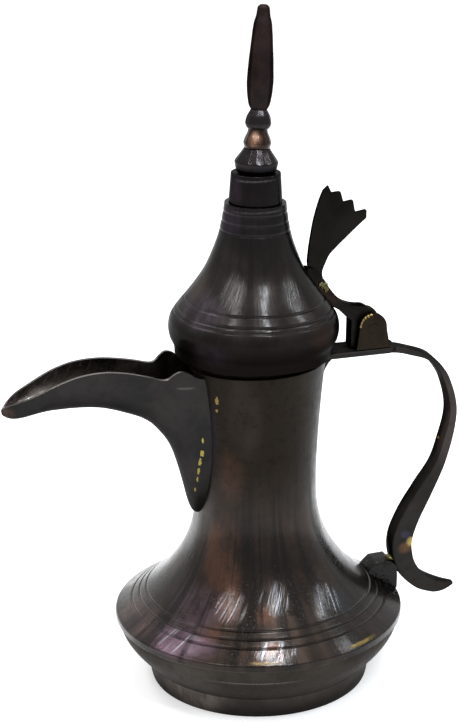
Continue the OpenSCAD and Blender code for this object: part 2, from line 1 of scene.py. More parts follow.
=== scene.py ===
"""Looks of the dallah coffee pot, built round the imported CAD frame.

Shapes are worked out in millimetres and stored in metres. +Z is up, the spout
points along -X, the handle along +X, and the pot stands on z = 0.
"""
from math import ceil, copysign, cos, dist, exp, hypot, pi, radians, sin, sqrt

import bmesh
import bpy
from mathutils import Matrix, Vector, noise


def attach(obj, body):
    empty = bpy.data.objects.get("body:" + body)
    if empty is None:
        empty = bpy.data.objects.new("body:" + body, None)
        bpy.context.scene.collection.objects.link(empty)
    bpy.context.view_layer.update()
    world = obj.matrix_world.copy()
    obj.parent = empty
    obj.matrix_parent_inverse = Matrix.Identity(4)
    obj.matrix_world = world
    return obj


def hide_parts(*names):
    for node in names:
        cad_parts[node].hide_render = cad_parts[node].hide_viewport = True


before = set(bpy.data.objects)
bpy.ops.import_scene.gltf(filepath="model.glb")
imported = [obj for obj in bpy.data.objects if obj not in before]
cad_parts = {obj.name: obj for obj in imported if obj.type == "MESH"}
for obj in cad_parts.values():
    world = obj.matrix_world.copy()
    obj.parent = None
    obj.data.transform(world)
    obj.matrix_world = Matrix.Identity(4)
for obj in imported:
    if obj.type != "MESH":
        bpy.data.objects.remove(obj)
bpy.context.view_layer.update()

MM = 0.001

# ---- Sizes in millimetres ----
FOOT_R, FOOT_FLARE, FOOT_H, FOOT_WALL, FOOT_LAND = 48.6, 1.8, 9.5, 3.0, 2.0
FOOT_TOP_R = FOOT_R + FOOT_FLARE
BASE_T = 1.6
BELLY_R, BELLY_Z, LIP_H = 64.5, 32.4, 2.9
WAIST_R, WAIST_Z = 26.7, 97.0
MOUTH_R, MOUTH_Z = 31.1, 149.0
WALL = 1.4
SHOULDER_POWER, NECK_POWER = 2.9, 1.5
LIP_Z = BELLY_Z - LIP_H
BOWL_R = BELLY_R - WALL
BOWL_TOP_Z = BELLY_Z - WALL

SPOUT_REACH, SPOUT_HALF_W, SPOUT_EAR_HALF_W, SPOUT_DROP, SPOUT_WALL = 111.3, 11.0, 16.3, 69.0, 1.6
POUR_HALF_W, POUR_DEPTH = 10.0, 46.0

HANDLE_W, BAR_T, BAR_DROP, HANDLE_REACH, HANDLE_BEND_Z = 9.0, 3.4, 1.0, 93.0, 116.0
HANDLE_STAND, HANDLE_DROP, HANDLE_T = 3.1, 88.0, 9.6
HANDLE_SWEEP = HANDLE_REACH - BELLY_R - HANDLE_STAND
TABLE_HALF_W, TABLE_T, TABLE_REACH = 8.0, 2.4, 11.8
ROOT_HALF_W, ROOT_T, ROOT_H = 7.0, 3.8, 5.0
SADDLE_HALF_W, SADDLE_TOP_Z, SADDLE_LEN = 6.5, 46.0, 8.3

PIN_X, PIN_Z, PIN_R, PIN_CLEAR = 52.3, 159.0, 2.0, 0.05
EAR_R, EAR_T, EAR_SPREAD, EAR_GAP = 6.4, 3.2, 1.5, 0.3
KNUCKLE_R, STRAP_W, STRAP_T, HEEL_GAP, HEEL_REACH, HEEL_LEN = 5.6, 7.6, 5.2, 0.3, 9.0, 6.5
PIN_HEAD_R, PIN_HEAD_H = 2.5, 0.3

LID_R, LID_GAP, DOME_H, DOME_TOP_R, LID_LEAN = 37.0, 1.0, 66.6, 13.2, 1.8
DRUM_R, DRUM_H, DRUM_TAPER = 11.5, 12.9, 0.9
FLANGE_DEPTH, FLANGE_CLEAR = 6.0, 1.9
LID_GROOVE_Z, LID_GROOVE_STEP, LID_TOP_GROOVE_STEP = 18.6, 2.0, 3.9
FAN_W, FAN_H, FAN_FOOT_H, FAN_T = 26.0, 40.0, 32.0, 2.4
FAN_BRAZE_R, BRAZE_LAP = 2.6, 0.4
FINIAL_LEAN, ROD_R = 1.9, 1.5
COLLAR_R, COLLAR_H, BEAD_R, BEAD_H, SPINDLE_R, SPINDLE_H = 9.2, 10.2, 5.5, 8.2, 5.6, 43.4

RIM_Z = MOUTH_Z + LID_GAP
BAR_TOP_Z = RIM_Z - BAR_DROP
BAR_MID_Z = BAR_TOP_Z - BAR_T / 2
LID_TOP_Z = RIM_Z + DOME_H
DRUM_TOP_Z = LID_TOP_Z + DRUM_H


# ---- Curves ----

def spline(points, steps=8):
    """Catmull-Rom curve through points of any dimension."""
    out = []
    last = len(points) - 1
    for i in range(last):
        a, b, c, d = (points[max(i - 1, 0)], points[i], points[i + 1], points[min(i + 2, last)])
        for s in range(steps):
            t = s / steps
            out.append(tuple(
                q + 0.5 * t * ((r - p) + t * ((2 * p - 5 * q + 4 * r - w) + t * (3 * (q - r) + w - p)))
                for p, q, r, w in zip(a, b, c, d)))
    out.append(tuple(points[-1]))
    return out


def lookup(pairs, x):
    """Straight-line lookup in pairs sorted by their first value."""
    if x <= pairs[0][0]:
        return pairs[0][1]
    for (x0, y0), (x1, y1) in zip(pairs, pairs[1:]):
        if x <= x1:
            return y0 + (y1 - y0) * (x - x0) / (x1 - x0)
    return pairs[-1][1]


def dense(points, step):
    """The open line through points, with no step longer than step."""
    out = [points[0]]
    for a, b in zip(points, points[1:]):
        n = max(1, ceil(dist(a, b) / step))
        out += [tuple(p + (q - p) * k / n for p, q in zip(a, b)) for k in range(1, n + 1)]
    return out


def normals_2d(line):
    """Left-hand unit normals of an open line of [x, z] points."""
    out = []
    for i in range(len(line)):
        a = line[max(i - 1, 0)]
        b = line[min(i + 1, len(line) - 1)]
        length = dist(a[:2], b[:2]) or 1.0
        out.append((-(b[1] - a[1]) / length, (b[0] - a[0]) / length))
    return out


def moved(line, d):
    """The line set off by d to its left."""
    return [(p[0] + n[0] * d, p[1] + n[1] * d) for p, n in zip(line, normals_2d(line))]


def rounded(points, radius, steps=5):
    """The open line with each inner corner rounded off."""
    out = [points[0]]
    for a, b, c in zip(points, points[1:], points[2:]):
        u = Vector(a) - Vector(b)
        v = Vector(c) - Vector(b)
        r = min(radius, u.length * 0.45, v.length * 0.45)
        p = Vector(b) + u.normalized() * r
        q = Vector(b) + v.normalized() * r
        for k in range(steps + 1):
            t = k / steps
            out.append(tuple((1 - t) ** 2 * p + 2 * t * (1 - t) * Vector(b) + t * t * q))
    out.append(points[-1])
    return out


def clamp(t):
    return max(0.0, min(1.0, t))


def within(z, start, full, fade, end):
    """0 below start and above end, 1 from full to fade."""
    return clamp((z - start) / (full - start)) * clamp((end - z) / (end - fade))


def arc(x, z, r, degrees):
    """Points on the circle of radius r round (x, z), at the angles given."""
    return [(x + r * cos(radians(t)), z + r * sin(radians(t))) for t in degrees]


def out_of(r, x, y):
    """x, or where (x, y) is inside the upright cylinder of radius r, the x of its surface."""
    return sqrt(max(r * r - y * y, 1.0)) if hypot(x, y) < r else x


def body_r(z):
    """Outer radius of the neck and shoulder."""
    if z < WAIST_Z:
        t = (z - BELLY_Z) / (WAIST_Z - BELLY_Z)
        return WAIST_R + (BELLY_R - WAIST_R) * max(0.0, 1 - t) ** SHOULDER_POWER
    t = (min(z, MOUTH_Z) - WAIST_Z) / (MOUTH_Z - WAIST_Z)
    return WAIST_R + (MOUTH_R - WAIST_R) * t ** NECK_POWER


def cut(points, places, depth, half):
    """Pushes a profile inwards by depth in round grooves at the heights given."""
    out = []
    for p, n in zip(points, normals_2d(points)):
        d = 0.0
        for z in places:
            along = (p[1] - z) / max(abs(n[0]), 0.2)
            d = max(d, depth * exp(-(along / half) ** 2))
        out.append((p[0] + n[0] * d, p[1] + n[1] * d))
    return out


def rough(x, y, z, size, seed):
    """Smooth noise from -1 to 1 whose lumps are about size mm."""
    return noise.noise(Vector((x / size + seed, y / size - seed, z / size + 0.37 * seed)))


def rough_at(r, z, a, size, seed):
    """The same noise at radius r, height z and angle a."""
    return rough(r * cos(a), r * sin(a), z, size, seed)


# ---- Meshes ----

MERGE_DIST = 0.005
# Edges of more than this many degrees stay crisp, unless a piece asks for another angle
SHARP = 35.0
# How far hidden edges reach into the neck (the root plate's less far), the shoulder and the lid
NECK_SINK, ROOT_SINK, SHOULDER_SINK, LID_SINK = 0.5, 0.4, 0.35, 0.3


def add_object(name, data):
    obj = bpy.data.objects.new(name, data)
    bpy.context.scene.collection.objects.link(obj)
    return obj


def drop(obj):
    """Deletes an object with its mesh."""
    mesh = obj.data
    bpy.data.objects.remove(obj)
    bpy.data.meshes.remove(mesh)


def smooth(obj, sharp):
    """Smooth shading that keeps edges of more than sharp degrees crisp."""
    obj.data.shade_smooth()
    obj.data.set_sharp_from_angle(angle=radians(sharp))


def skin(name, rings, ends="capped", sharp=SHARP):
    """Mesh through closed rings of points. Its ends are capped, joined to each other or left open."""
    n = len(rings[0])
    verts = [(x * MM, y * MM, z * MM) for ring in rings for x, y, z in ring]
    steps = list(zip(range(len(rings)), range(1, len(rings))))
    if ends == "joined":
        steps.append((len(rings) - 1, 0))
    faces = [[i * n + k, i * n + (k + 1) % n, j * n + (k + 1) % n, j * n + k]
             for i, j in steps for k in range(n)]
    if ends == "capped":
        faces += [list(range(n)), list(range(len(verts) - n, len(verts)))]
    mesh = bpy.data.meshes.new(name)
    mesh.from_pydata(verts, [], faces)
    mesh.update()
    bm = bmesh.new()
    bm.from_mesh(mesh)
    bmesh.ops.remove_doubles(bm, verts=bm.verts, dist=MERGE_DIST * MM)
    bmesh.ops.recalc_face_normals(bm, faces=bm.faces)
    bm.to_mesh(mesh)
    bm.free()
    obj = add_object(name, mesh)
    smooth(obj, sharp)
    return obj


def turned(name, profile, segs, shape=None, ends="joined", sharp=SHARP):
    """Solid of revolution from a profile of (r, z). shape(r, z, a) may move each point."""
    rings = []
    for r, z in profile:
        ring = []
        for k in range(segs):
            a = 2 * pi * k / segs
            rr, zz = shape(r, z, a) if shape else (r, z)
            ring.append((rr * cos(a), rr * sin(a), zz))
        rings.append(ring)
    return skin(name, rings, ends, sharp)


def bar_section(corner, steps=4):
    """Unit rectangle with rounded corners; corner is a share of the half sides."""
    out = []
    for sx, sy, start in ((1, 1, 0), (-1, 1, 90), (-1, -1, 180), (1, -1, 270)):
        for k in range(steps + 1):
            a = radians(start + 90 * k / steps)
            out.append((sx * (1 - corner[0]) + corner[0] * cos(a),
                        sy * (1 - corner[1]) + corner[1] * sin(a)))
    return out


def plate(name, outline, y0, y1, bevel, segments=3):
    """A flat outline of (x, z) made into a plate from y0 to y1 with rounded edges."""
    obj = skin(name, [[(x, y, z) for x, z in outline] for y in (y0, y1)])
    add_bevel(obj, bevel, segments)
    return obj


def add_bevel(obj, width, segments=3, angle=30.0):
    mod = obj.modifiers.new("edge", "BEVEL")
    mod.width = width * MM
    mod.segments = segments
    mod.limit_method = "ANGLE"
    mod.angle_limit = radians(angle)
    apply(obj)
    smooth(obj, 50)


def apply(obj):
    """Turns the object's modifiers into its mesh."""
    bpy.context.view_layer.update()
    depsgraph = bpy.context.evaluated_depsgraph_get()
    mesh = bpy.data.meshes.new_from_object(obj.evaluated_get(depsgraph))
    obj.modifiers.clear()
    old = obj.data
    obj.data = mesh
    mesh.name = obj.name
    bpy.data.meshes.remove(old)


def cut_away(obj, cutter):
    """Takes the cutter's solid out of the object and deletes the cutter."""
    mod = obj.modifiers.new("cut", "BOOLEAN")
    mod.operation = "DIFFERENCE"
    mod.solver = "EXACT"
    mod.object = cutter
    apply(obj)
    drop(cutter)
    smooth(obj, SHARP)


def join(objs, name):
    """Joins objects into the first one."""
    bm = bmesh.new()
    for obj in objs:
        bm.from_mesh(obj.data)
    for obj in objs[1:]:
        drop(obj)
    bm.to_mesh(objs[0].data)
    bm.free()
    objs[0].name = name
    smooth(objs[0], 40)
    return objs[0]


def shift_mesh(obj, fn):
    """Moves each vertex by fn(x, y, z) in millimetres."""
    for v in obj.data.vertices:
        v.co = Vector(fn(v.co.x / MM, v.co.y / MM, v.co.z / MM)) * MM
    obj.data.update()


def place(obj, matrix):
    obj.data.transform(matrix)
    obj.data.update()
    return obj


# Moves to the hinge pin, along it, to where the lid's lean leaves the lid, and to the leaning finial
AT_PIN = Matrix.Translation(Vector((PIN_X, 0, PIN_Z)) * MM)
ALONG_PIN = AT_PIN @ Matrix.Rotation(radians(90), 4, "X")
LID_PLACE = AT_PIN @ Matrix.Rotation(radians(LID_LEAN), 4, "Y") @ AT_PIN.inverted()
FINIAL_PLACE = (LID_PLACE @ Matrix.Translation((0, 0, DRUM_TOP_Z * MM))
                @ Matrix.Rotation(radians(FINIAL_LEAN), 4, "Y"))


# ---- Materials ----

# Colours are in thousandths of full linear light, and places and radii in millimetres
FULL = 1000.0
# Share of a spot's radii over which it is full, and roughness of the oily coat
SPOT_CORE, COAT_ROUGHNESS = 0.35, 0.15


class Tree:
    """Short names for building a node tree."""

    def __init__(self, owner):
        owner.use_nodes = True
        self.tree = owner.node_tree
        self.tree.nodes.clear()

    def put(self, value, socket):
        if isinstance(value, bpy.types.NodeSocket):
            self.tree.links.new(value, socket)
        else:
            socket.default_value = value

    def node(self, kind, **inputs):
        n = self.tree.nodes.new("ShaderNode" + kind)
        for key, value in inputs.items():
            self.put(value, n.inputs[key])
        return n

    def operate(self, kind, op, a, b):
        n = self.node(kind)
        n.operation = op
        self.put(a, n.inputs[0])
        self.put(b, n.inputs[1])
        return n.outputs

    def math(self, op, a, b=0.0):
        return self.operate("Math", op, a, b)[0]

    def times(self, a, b):
        return self.math("MULTIPLY", a, b)

    def plain_sight(self):
        """1 for rays from the camera and their reflections, 0 for light that falls on a rough surface."""
        path = self.node("LightPath")
        total = path.outputs["Is Camera Ray"]
        for kind in ("Is Glossy Ray", "Is Transmission Ray"):
            total = self.math("ADD", total, path.outputs[kind])
            total.node.use_clamp = True
        return total


class Metal(Tree):
    """The node tree of one metal, with its shader and the object's coordinates."""

    def __init__(self, name):
        self.mat = bpy.data.materials.new(name)
        super().__init__(self.mat)
        self.shader = self.node("BsdfPrincipled")
        self.node("OutputMaterial", Surface=self.shader.outputs[0])
        self.coords = self.node("TexCoord").outputs["Object"]

    def noise_at(self, vector, scale, detail, roughness):
        n = self.node("TexNoise", Vector=vector, Scale=scale, Detail=detail, Roughness=roughness)
        return n.outputs["Fac"]

    def noise(self, size, detail, roughness, scale=(1, 1, 1)):
        """Noise from 0 to 1 whose lumps are about size mm, stretched by scale."""
        n = self.node("Mapping", Vector=self.coords, Scale=scale)
        return self.noise_at(n.outputs[0], 1 / (size * MM), detail, roughness)

    def grain(self, size, stretch, turn):
        """Noise from 0 to 1 in lines size mm wide and stretch times as long, turned from the z axis."""
        n = self.node("Mapping", Vector=self.coords, Scale=(1, 1, stretch), Rotation=turn)
        n.vector_type = "TEXTURE"
        return self.noise_at(n.outputs[0], 1 / (size * MM), 2, 0.5)

    def polar(self, around, along, twist=0.0):
        """Coordinates round the z axis: around is their radius, along and twist are per metre of height."""
        sep = self.node("SeparateXYZ", Vector=self.coords)
        angle = self.math("ARCTAN2", sep.outputs[1], sep.outputs[0])
        angle = self.math("SUBTRACT", angle, self.times(sep.outputs[2], twist))
        x = self.times(self.math("COSINE", angle), around)
        y = self.times(self.math("SINE", angle), around)
        z = self.times(sep.outputs[2], along)
        return self.node("CombineXYZ", X=x, Y=y, Z=z).outputs[0]

    def most(self, values):
        """The largest of the values, or 0."""
        top = 0.0
        for value in values:
            top = self.math("MAXIMUM", top, value)
        return top

    def ramp(self, value, low, high, out_low=0.0, out_high=1.0):
        """A soft step from out_low where value is low to out_high where it is high."""
        n = self.node("MapRange")
        n.clamp = True
        n.interpolation_type = "SMOOTHSTEP"
        for setting, socket in zip((value, low, high, out_low, out_high), n.inputs):
            self.put(setting, socket)
        return n.outputs[0]

    def mix(self, share, a, b):
        """Colour a with the share of colour b."""
        n = self.node("Mix")
        n.data_type = "RGBA"
        self.put(share, n.inputs[0])
        # The node's sockets 6 and 7 are its two colours
        for colour, socket in ((a, n.inputs[6]), (b, n.inputs[7])):
            if not isinstance(colour, bpy.types.NodeSocket):
                colour = (*(part / FULL for part in colour), 1.0)
            self.put(colour, socket)
        return n.outputs[2]

    def spot(self, centre, radii):
        """1 round the centre, falling to 0 at the ellipsoid with these radii."""
        off = self.operate("VectorMath", "SUBTRACT", self.coords, [c * MM for c in centre])[0]
        share = self.operate("VectorMath", "DIVIDE", off, [r * MM for r in radii])[0]
        length = self.operate("VectorMath", "LENGTH", share, (0, 0, 0))["Value"]
        return self.ramp(length, SPOT_CORE, 1.0, 1.0, 0.0)

    def bump(self, height, distance, strength=1.0, normal=None):
        n = self.node("Bump", Height=height, Distance=distance * MM, Strength=strength)
        if normal is not None:
            self.put(normal, n.inputs["Normal"])
        return n.outputs[0]

    def finish(self, colour, roughness, normal, edge, coat):
        """Metal under a thin oily coat; its reflection at a grazing angle is held down to the share edge."""
        sockets = self.shader.inputs
        self.put(colour, sockets["Base Color"])
        self.put(roughness, sockets["Roughness"])
        self.put(normal, sockets["Normal"])
        self.put(coat, sockets["Coat Weight"])
        sockets["Metallic"].default_value = 1.0
        sockets["Specular Tint"].default_value = (edge, edge, edge, 1)
        sockets["Coat Roughness"].default_value = COAT_ROUGHNESS
        if coat:
            self.put(normal, sockets["Coat Normal"])
        return self.mat


def patina(name, dark, mid, warm, gloss, rough_top, marks=(), mark_colour=None, patches=(), tints=(),
           rubbed_highlights=(), rub_highlight_colour=(160, 150, 150), lines=(), shade=None, dents=0.06, streaks=0.0,
           hatch=0.02, speckle=0.12, wipes=0.0, lumps=0.0, edge=1.0, coat=0.0):
    """Patinated metal: dark and mid tones in clouds, warm patches, tints, scratches, dents and worn marks.

    gloss and rough_top are the least and greatest roughness. marks, patches, rubbed and tints are lists of
    (centre, radii[, colour]). marks show bare metal, patches the warm tone, rubbed places bright slanting
    streaks, partly worn scratches and partly painted highlights, and tints their own colour, a few of them
    painted highlights and painted shade. lines are thin rings (height, centre, radii, colour) seen near the
    centre: worn edges and seams, and painted highlights on top edges. shade (from, to, colour, share) brings
    in a colour by height, where the coat fades away: painted shade where it is darker, painted light where it
    is lighter, and on the body's neck partly the metal's own tone. wipes is the share of dark streaks that
    run up and down. dents, streaks, hatch and lumps are depths."""
    n = Metal(name)
    cloud = n.noise(24, 4, 0.6)
    fine = n.noise(3.2, 5, 0.65)
    speck = n.noise(0.9, 2, 0.5)
    blotch = n.noise(9, 4, 0.6, (1, 1, 0.5))
    colour = n.mix(n.ramp(cloud, 0.34, 0.66), dark, mid)
    colour = n.mix(n.ramp(blotch, 0.5, 0.75, 0.0, speckle), colour, warm)
    height = n.node("SeparateXYZ", Vector=n.coords).outputs[2]
    # A colour brought in by height: painted shade where it is darker, painted light where it is lighter. The
    # same mask makes the surface rougher and fades the coat.
    if shade:
        shade_and_matt = n.ramp(height, shade[0] * MM, shade[1] * MM, 1.0, 0.0)
        colour = n.mix(n.times(shade_and_matt, shade[3]), colour, shade[2])
    for centre, radii in patches:
        spot = n.times(n.spot(centre, radii), n.ramp(blotch, 0.36, 0.6, 0.1, 0.8))
        colour = n.mix(spot, colour, warm)
    for centre, radii, tint in tints:
        spot = n.times(n.spot(centre, radii), n.ramp(blotch, 0.3, 0.6, 0.35, 1.0))
        colour = n.mix(spot, colour, tint)
    colour = n.mix(n.ramp(speck, 0.66, 0.8, 0.0, speckle), colour, warm)
    colour = n.mix(n.ramp(fine, 0.5, 0.72, 0.0, 0.4), colour, dark)
    if wipes:
        share = n.ramp(n.noise_at(n.polar(4, 6), 1.7, 4, 0.65), 0.46, 0.62, 0.0, wipes)
        if shade:
            share = n.times(share, n.math("SUBTRACT", 1.0, shade_and_matt))
        colour = n.mix(share, colour, tuple(0.45 * part for part in dark))
    # Thin rings: worn edges and seams, and painted highlights on the lid's and drum's top edges.
    for z, centre, radii, tint in lines:
        off = n.math("ABSOLUTE", n.math("SUBTRACT", height, z * MM))
        share = n.times(n.ramp(off, 0.15 * MM, 0.6 * MM, 1.0, 0.0), n.spot(centre, radii))
        colour = n.mix(n.times(share, n.ramp(speck, 0.35, 0.6, 0.4, 1.0)), colour, tint)
    # Short rubbed scratches in two directions
    scratches = n.math("MAXIMUM", n.ramp(n.grain(0.5, 26, (0.1, 0.5, 0.2)), 0.6, 0.72),
                       n.ramp(n.grain(0.55, 22, (0.9, -0.5, 0.4)), 0.64, 0.76))
    colour = n.mix(n.times(scratches, speckle), colour, warm)
    # Bright slanting streaks where the lamps' highlights fall: partly worn scratches, partly painted
    # highlights.
    if rubbed_highlights:
        slant = n.ramp(n.noise_at(n.polar(34, 46, 11), 1.0, 3, 0.6), 0.5, 0.68)
        rub_highlights = n.most([n.times(n.spot(centre, radii), slant) for centre, radii in rubbed_highlights])
        colour = n.mix(n.times(rub_highlights, 0.6), colour, rub_highlight_colour)
    if marks:
        ragged = n.ramp(speck, 0.3, 0.7, -0.35, 0.35)
        bare = n.most([n.ramp(n.math("ADD", n.spot(centre, radii), ragged), 0.45, 0.7)
                       for centre, radii in marks])
        colour = n.mix(bare, colour, mark_colour)
    roughness = n.ramp(cloud, 0.3, 0.7, gloss, rough_top)
    roughness = n.math("ADD", roughness, n.times(scratches, 0.08))
    roughness = n.math("ADD", roughness, n.ramp(fine, 0.35, 0.75, -0.03, 0.07))
    if shade:
        roughness = n.math("ADD", roughness, n.times(shade_and_matt, 0.14))
    if shade and coat:
        coat = n.times(n.math("SUBTRACT", 1.0, shade_and_matt), coat)
    normal = n.bump(scratches, hatch, 0.6)
    normal = n.bump(fine, 0.03, 0.6, normal)
    if dents:
        normal = n.bump(n.noise(11, 2, 0.5), dents, 1.0, normal)
    if lumps:
        normal = n.bump(n.noise(3.5, 3, 0.6), lumps, 1.0, normal)
    if streaks:
        normal = n.bump(n.noise_at(n.polar(9, 12), 3.0, 3, 0.6), streaks, 1.0, normal)
    if rubbed_highlights:
        normal = n.bump(rub_highlights, 0.12, 1.0, normal)
    return n.finish(colour, roughness, normal, edge, coat)


BARE_BRASS = (187.2, 122.4, 43.2)
copper_body = patina(
    "copper_body", (6.8, 4.3, 2.9), (21.6, 13.7, 9.7), (61.2, 26.6, 15.8), 0.24, 0.38,
    marks=[((-22.2, -19.8, 137.9), (1.0, 1.6, 2.8)), ((-22.1, -19.1, 133.2), (0.8, 1.4, 1.4))],
    patches=[((-22.4, -20.5, 71), (13, 12, 17)), ((-24, -25, 59.5), (15, 15, 14)),
        ((-24.7, -35.1, 48.6), (13, 13, 9)), ((-8, -42, 46), (8, 10, 6)), ((-12, -56, 36), (14, 12, 5)),
        ((-35, -40, 41), (10, 10, 6))],
    tints=[((-47, -35, 36), (24, 26, 6), (97.2, 57.6, 82.8)),
        ((-26, -14, 120), (7, 14, 26), (18.7, 14.4, 18.7)), ((-36, -26, 46), (18, 20, 13), (54, 36, 43.2)),
        ((-17.3, -20.4, 103), (8, 9, 17), (32.4, 18.7, 13)),
        ((-12, -26, 132), (10, 10, 28), (21.6, 17.6, 14)),
        ((28, -38, 46), (11, 12, 8), (18.7, 21.6, 24.5)), ((-60, -8, 38), (16, 28, 10), (78, 48, 43)),
        # The last two tints darken the belly's right side: painted shade.
        ((44, -28, 52), (24, 34, 26), (8, 5.5, 4.2)), ((58, -12, 36), (20, 34, 10), (15, 11.5, 10))],
    # These streaks, in the bluish-white rub colour below, lie on the lamps' highlights: partly worn
    # scratches, partly painted highlights.
    rubbed_highlights=[((-22, -36, 48), (9, 9, 9)), ((-4, -38, 51), (8, 10, 9)), ((-46, -35, 36), (13, 13, 5)),
        ((-9, -57, 36), (11, 8, 4)), ((20, -38, 47), (8, 10, 9))],
    lines=[(33.3, (31, -54, 33.3), (10, 10, 9), (172.8, 118.8, 28.8)),
        (33.3, (-15, -60, 33.3), (8, 8, 9), (79.2, 54, 25.2))],
    # The shade gives the neck a flat, duller colour: partly its own tone, partly painted shade.
    mark_colour=BARE_BRASS, rub_highlight_colour=(360, 355, 380), shade=(112, 74, (13.7, 11.2, 8.6), 0.92),
    dents=0.11, streaks=0.045, hatch=0.04, wipes=0.8, coat=0.32)
copper_dark = patina(
    "copper_dark", (20.2, 17.3, 14.4), (36, 30.2, 25.2), (57.6, 36, 25.2), 0.34, 0.5,
    tints=[((-40, -34, 20), (20, 24, 14), (61.2, 53.3, 47.5))],
    lines=[(22.7, (-19, -59, 22.7), (26, 24, 9), (90, 79.2, 72))],
    # The shade lightens the lower bowl towards the foot, where the crease lies in shade: painted light.
    shade=(13, 21, (44.6, 38.2, 33.1), 0.9), streaks=0.03, edge=0.6)
copper_foot = patina(
    "copper_foot", (28.8, 24.5, 21.6), (46.1, 38.9, 33.8), (64.8, 39.6, 28.8), 0.38, 0.54,
    tints=[((-38, -30, 7), (20, 24, 10), (108, 90, 79.2))],
    # The shade darkens the foot ring towards the floor: painted shade.
    shade=(1, 9, (14.4, 13, 12.2), 0.85), streaks=0.03, edge=0.7)
copper_lid = patina(
    "copper_lid", (6.8, 5.4, 5), (18, 14.8, 13.3), (43.2, 23, 15.8), 0.30, 0.42,
    # Of these tints, the near-black one over the dome's top is painted shade that dims its lit rings, and the
    # pale ones at (-14, -18) and (10, -22) are painted highlights where the left and right lamps reflect.
    tints=[((-28, -14, 178), (15, 18, 12), (56.2, 43.2, 53.3)),
        ((-30, -4, 188), (12, 14, 12), (61.2, 46.1, 34.6)), ((0, -10, 214), (28, 28, 20), (4.7, 3.9, 4)),
        ((-11, -7, 213), (7, 9, 8), (17.3, 12.2, 18)), ((-14, -18, 184), (7, 9, 12), (39.6, 36, 32.4)),
        ((10, -22, 182), (7, 9, 12), (32.4, 31, 28.8)), ((-24, -24, 160), (13, 13, 7), (11.5, 8.8, 11.2)),
        ((22, -27, 165), (12, 13, 7), (19, 11.2, 8.6))],
    # These streaks lie on the left and right lamps' highlights: partly worn scratches, partly painted
    # highlights.
    rubbed_highlights=[((-14, -18, 184), (7, 8, 12)), ((10, -22, 180), (7, 8, 12))],
    # This pale ring on the dome's top ledge is a painted highlight.
    lines=[(LID_TOP_Z - 0.2, (0, -13, LID_TOP_Z), (17, 12, 6), (39.6, 36.7, 36.7))],
    # The shade darkens the lid's tucked-in lower part: painted shade.
    shade=(159, 174, (5, 4, 3.6), 0.92), dents=0.085, streaks=0.03, hatch=0.03, speckle=0.06, wipes=0.4,
    edge=0.5, coat=0.22)
copper_drum = patina(
    "copper_drum", (5, 4, 4.3), (9.7, 7.8, 8.3), (28.8, 15.8, 15.8), 0.38, 0.5,
    tints=[((-11, -6, 225), (7, 9, 11), (28.8, 20.2, 27.4))],
    # This pale ring on the drum's top edge is a painted highlight.
    lines=[(DRUM_TOP_Z - 0.3, (-3, -11, DRUM_TOP_Z), (14, 10, 6), (54, 49, 51.1))],
    dents=0.05, speckle=0.05, edge=0.35, coat=0.1)
bronze_dark = patina(
    "bronze_dark", (15.8, 15.1, 14.4), (24.5, 23, 21.6), (39.6, 25.9, 21.6), 0.4, 0.56,
    marks=[((60, -4.5, 47.8), (1.2, 1.4, 0.9)), ((86.6, 1.5, 100.6), (1.0, 1.2, 1.0))],
    tints=[((89, -4, 112), (12, 8, 34), (41.8, 34.6, 32.4)),
        ((68.6, -4.5, 51), (4.2, 3, 3.6), (115.2, 61.2, 32.4)),
        ((71.4, -4.5, 53.8), (2.6, 3, 3.0), (374.4, 273.6, 86.4)),
        ((69, -4.5, 57.5), (3, 3, 2.6), (36, 32.4, 54))],
    mark_colour=BARE_BRASS, speckle=0.14, edge=0.3)
bronze_lumpy = patina(
    "bronze_lumpy", (4.3, 4, 3.6), (10.1, 9, 8.6), (36, 24.5, 18.7), 0.22, 0.36,
    dents=0.5, hatch=0.06, speckle=0.16, lumps=0.45, edge=0.5, coat=0.25)
bronze_black = patina(
    "bronze_black", (6.8, 6.5, 5.8), (11.2, 10.4, 9.4), (28.8, 15.8, 13), 0.3, 0.45,
    tints=[((33, -3.5, 176), (9, 4, 9), (21.6, 13.7, 11.5))],
    speckle=0.1, edge=0.2)
bronze_spout = patina(
    "bronze_spout", (15.8, 15.1, 14.8), (26.6, 24.5, 23.8), (72, 43.2, 36), 0.38, 0.52,
    marks=[((-27.5, -14.8, 118.6), (0.7, 1.6, 2.2)), ((-27.8, -13.9, 112.5), (1.3, 2, 2.4)),
        ((-28.6, -13.1, 108.2), (1.0, 2, 3.2)), ((-29.1, -12.3, 104), (0.9, 2, 2.6)),
        ((-29.5, -11.4, 99.8), (0.6, 2, 1.8)), ((-30.2, -9.5, 94.5), (0.5, 2, 1.6))],
    patches=[((-109, 0, 136), (5, 9, 5))],
    # This pale thin line on the near lobe is a painted highlight along the crease under its rolled lip.
    tints=[((-35, -16, 143.6), (6, 3, 0.8), (61.2, 57.6, 54))],
    mark_colour=(244.8, 194.4, 50.4), dents=0.12, speckle=0.06, edge=0.5)
spout_inside = patina(
    "spout_inside", (36, 30.2, 26.6), (86.4, 72, 61.2), (122.4, 82.8, 64.8), 0.26, 0.42,
    tints=[((-104, 0, 137), (10, 9, 8), (230.4, 180, 172.8))],
    dents=0.35, hatch=0.06, coat=0.5)
spout_rim = patina(
    "spout_rim", (61.2, 57.6, 56.2), (122.4, 111.6, 104.4), (144, 100.8, 79.2), 0.26, 0.4,
    dents=0.12)
bronze_brown = patina(
    "bronze_brown", (11.9, 9.4, 9.6), (22.3, 15.5, 14.8), (64.8, 32.4, 24.5), 0.36, 0.5,
    tints=[((-6, -5, 280), (6, 7, 30), (39.6, 25.9, 39.6))],
    dents=0.14, speckle=0.3, edge=0.4)
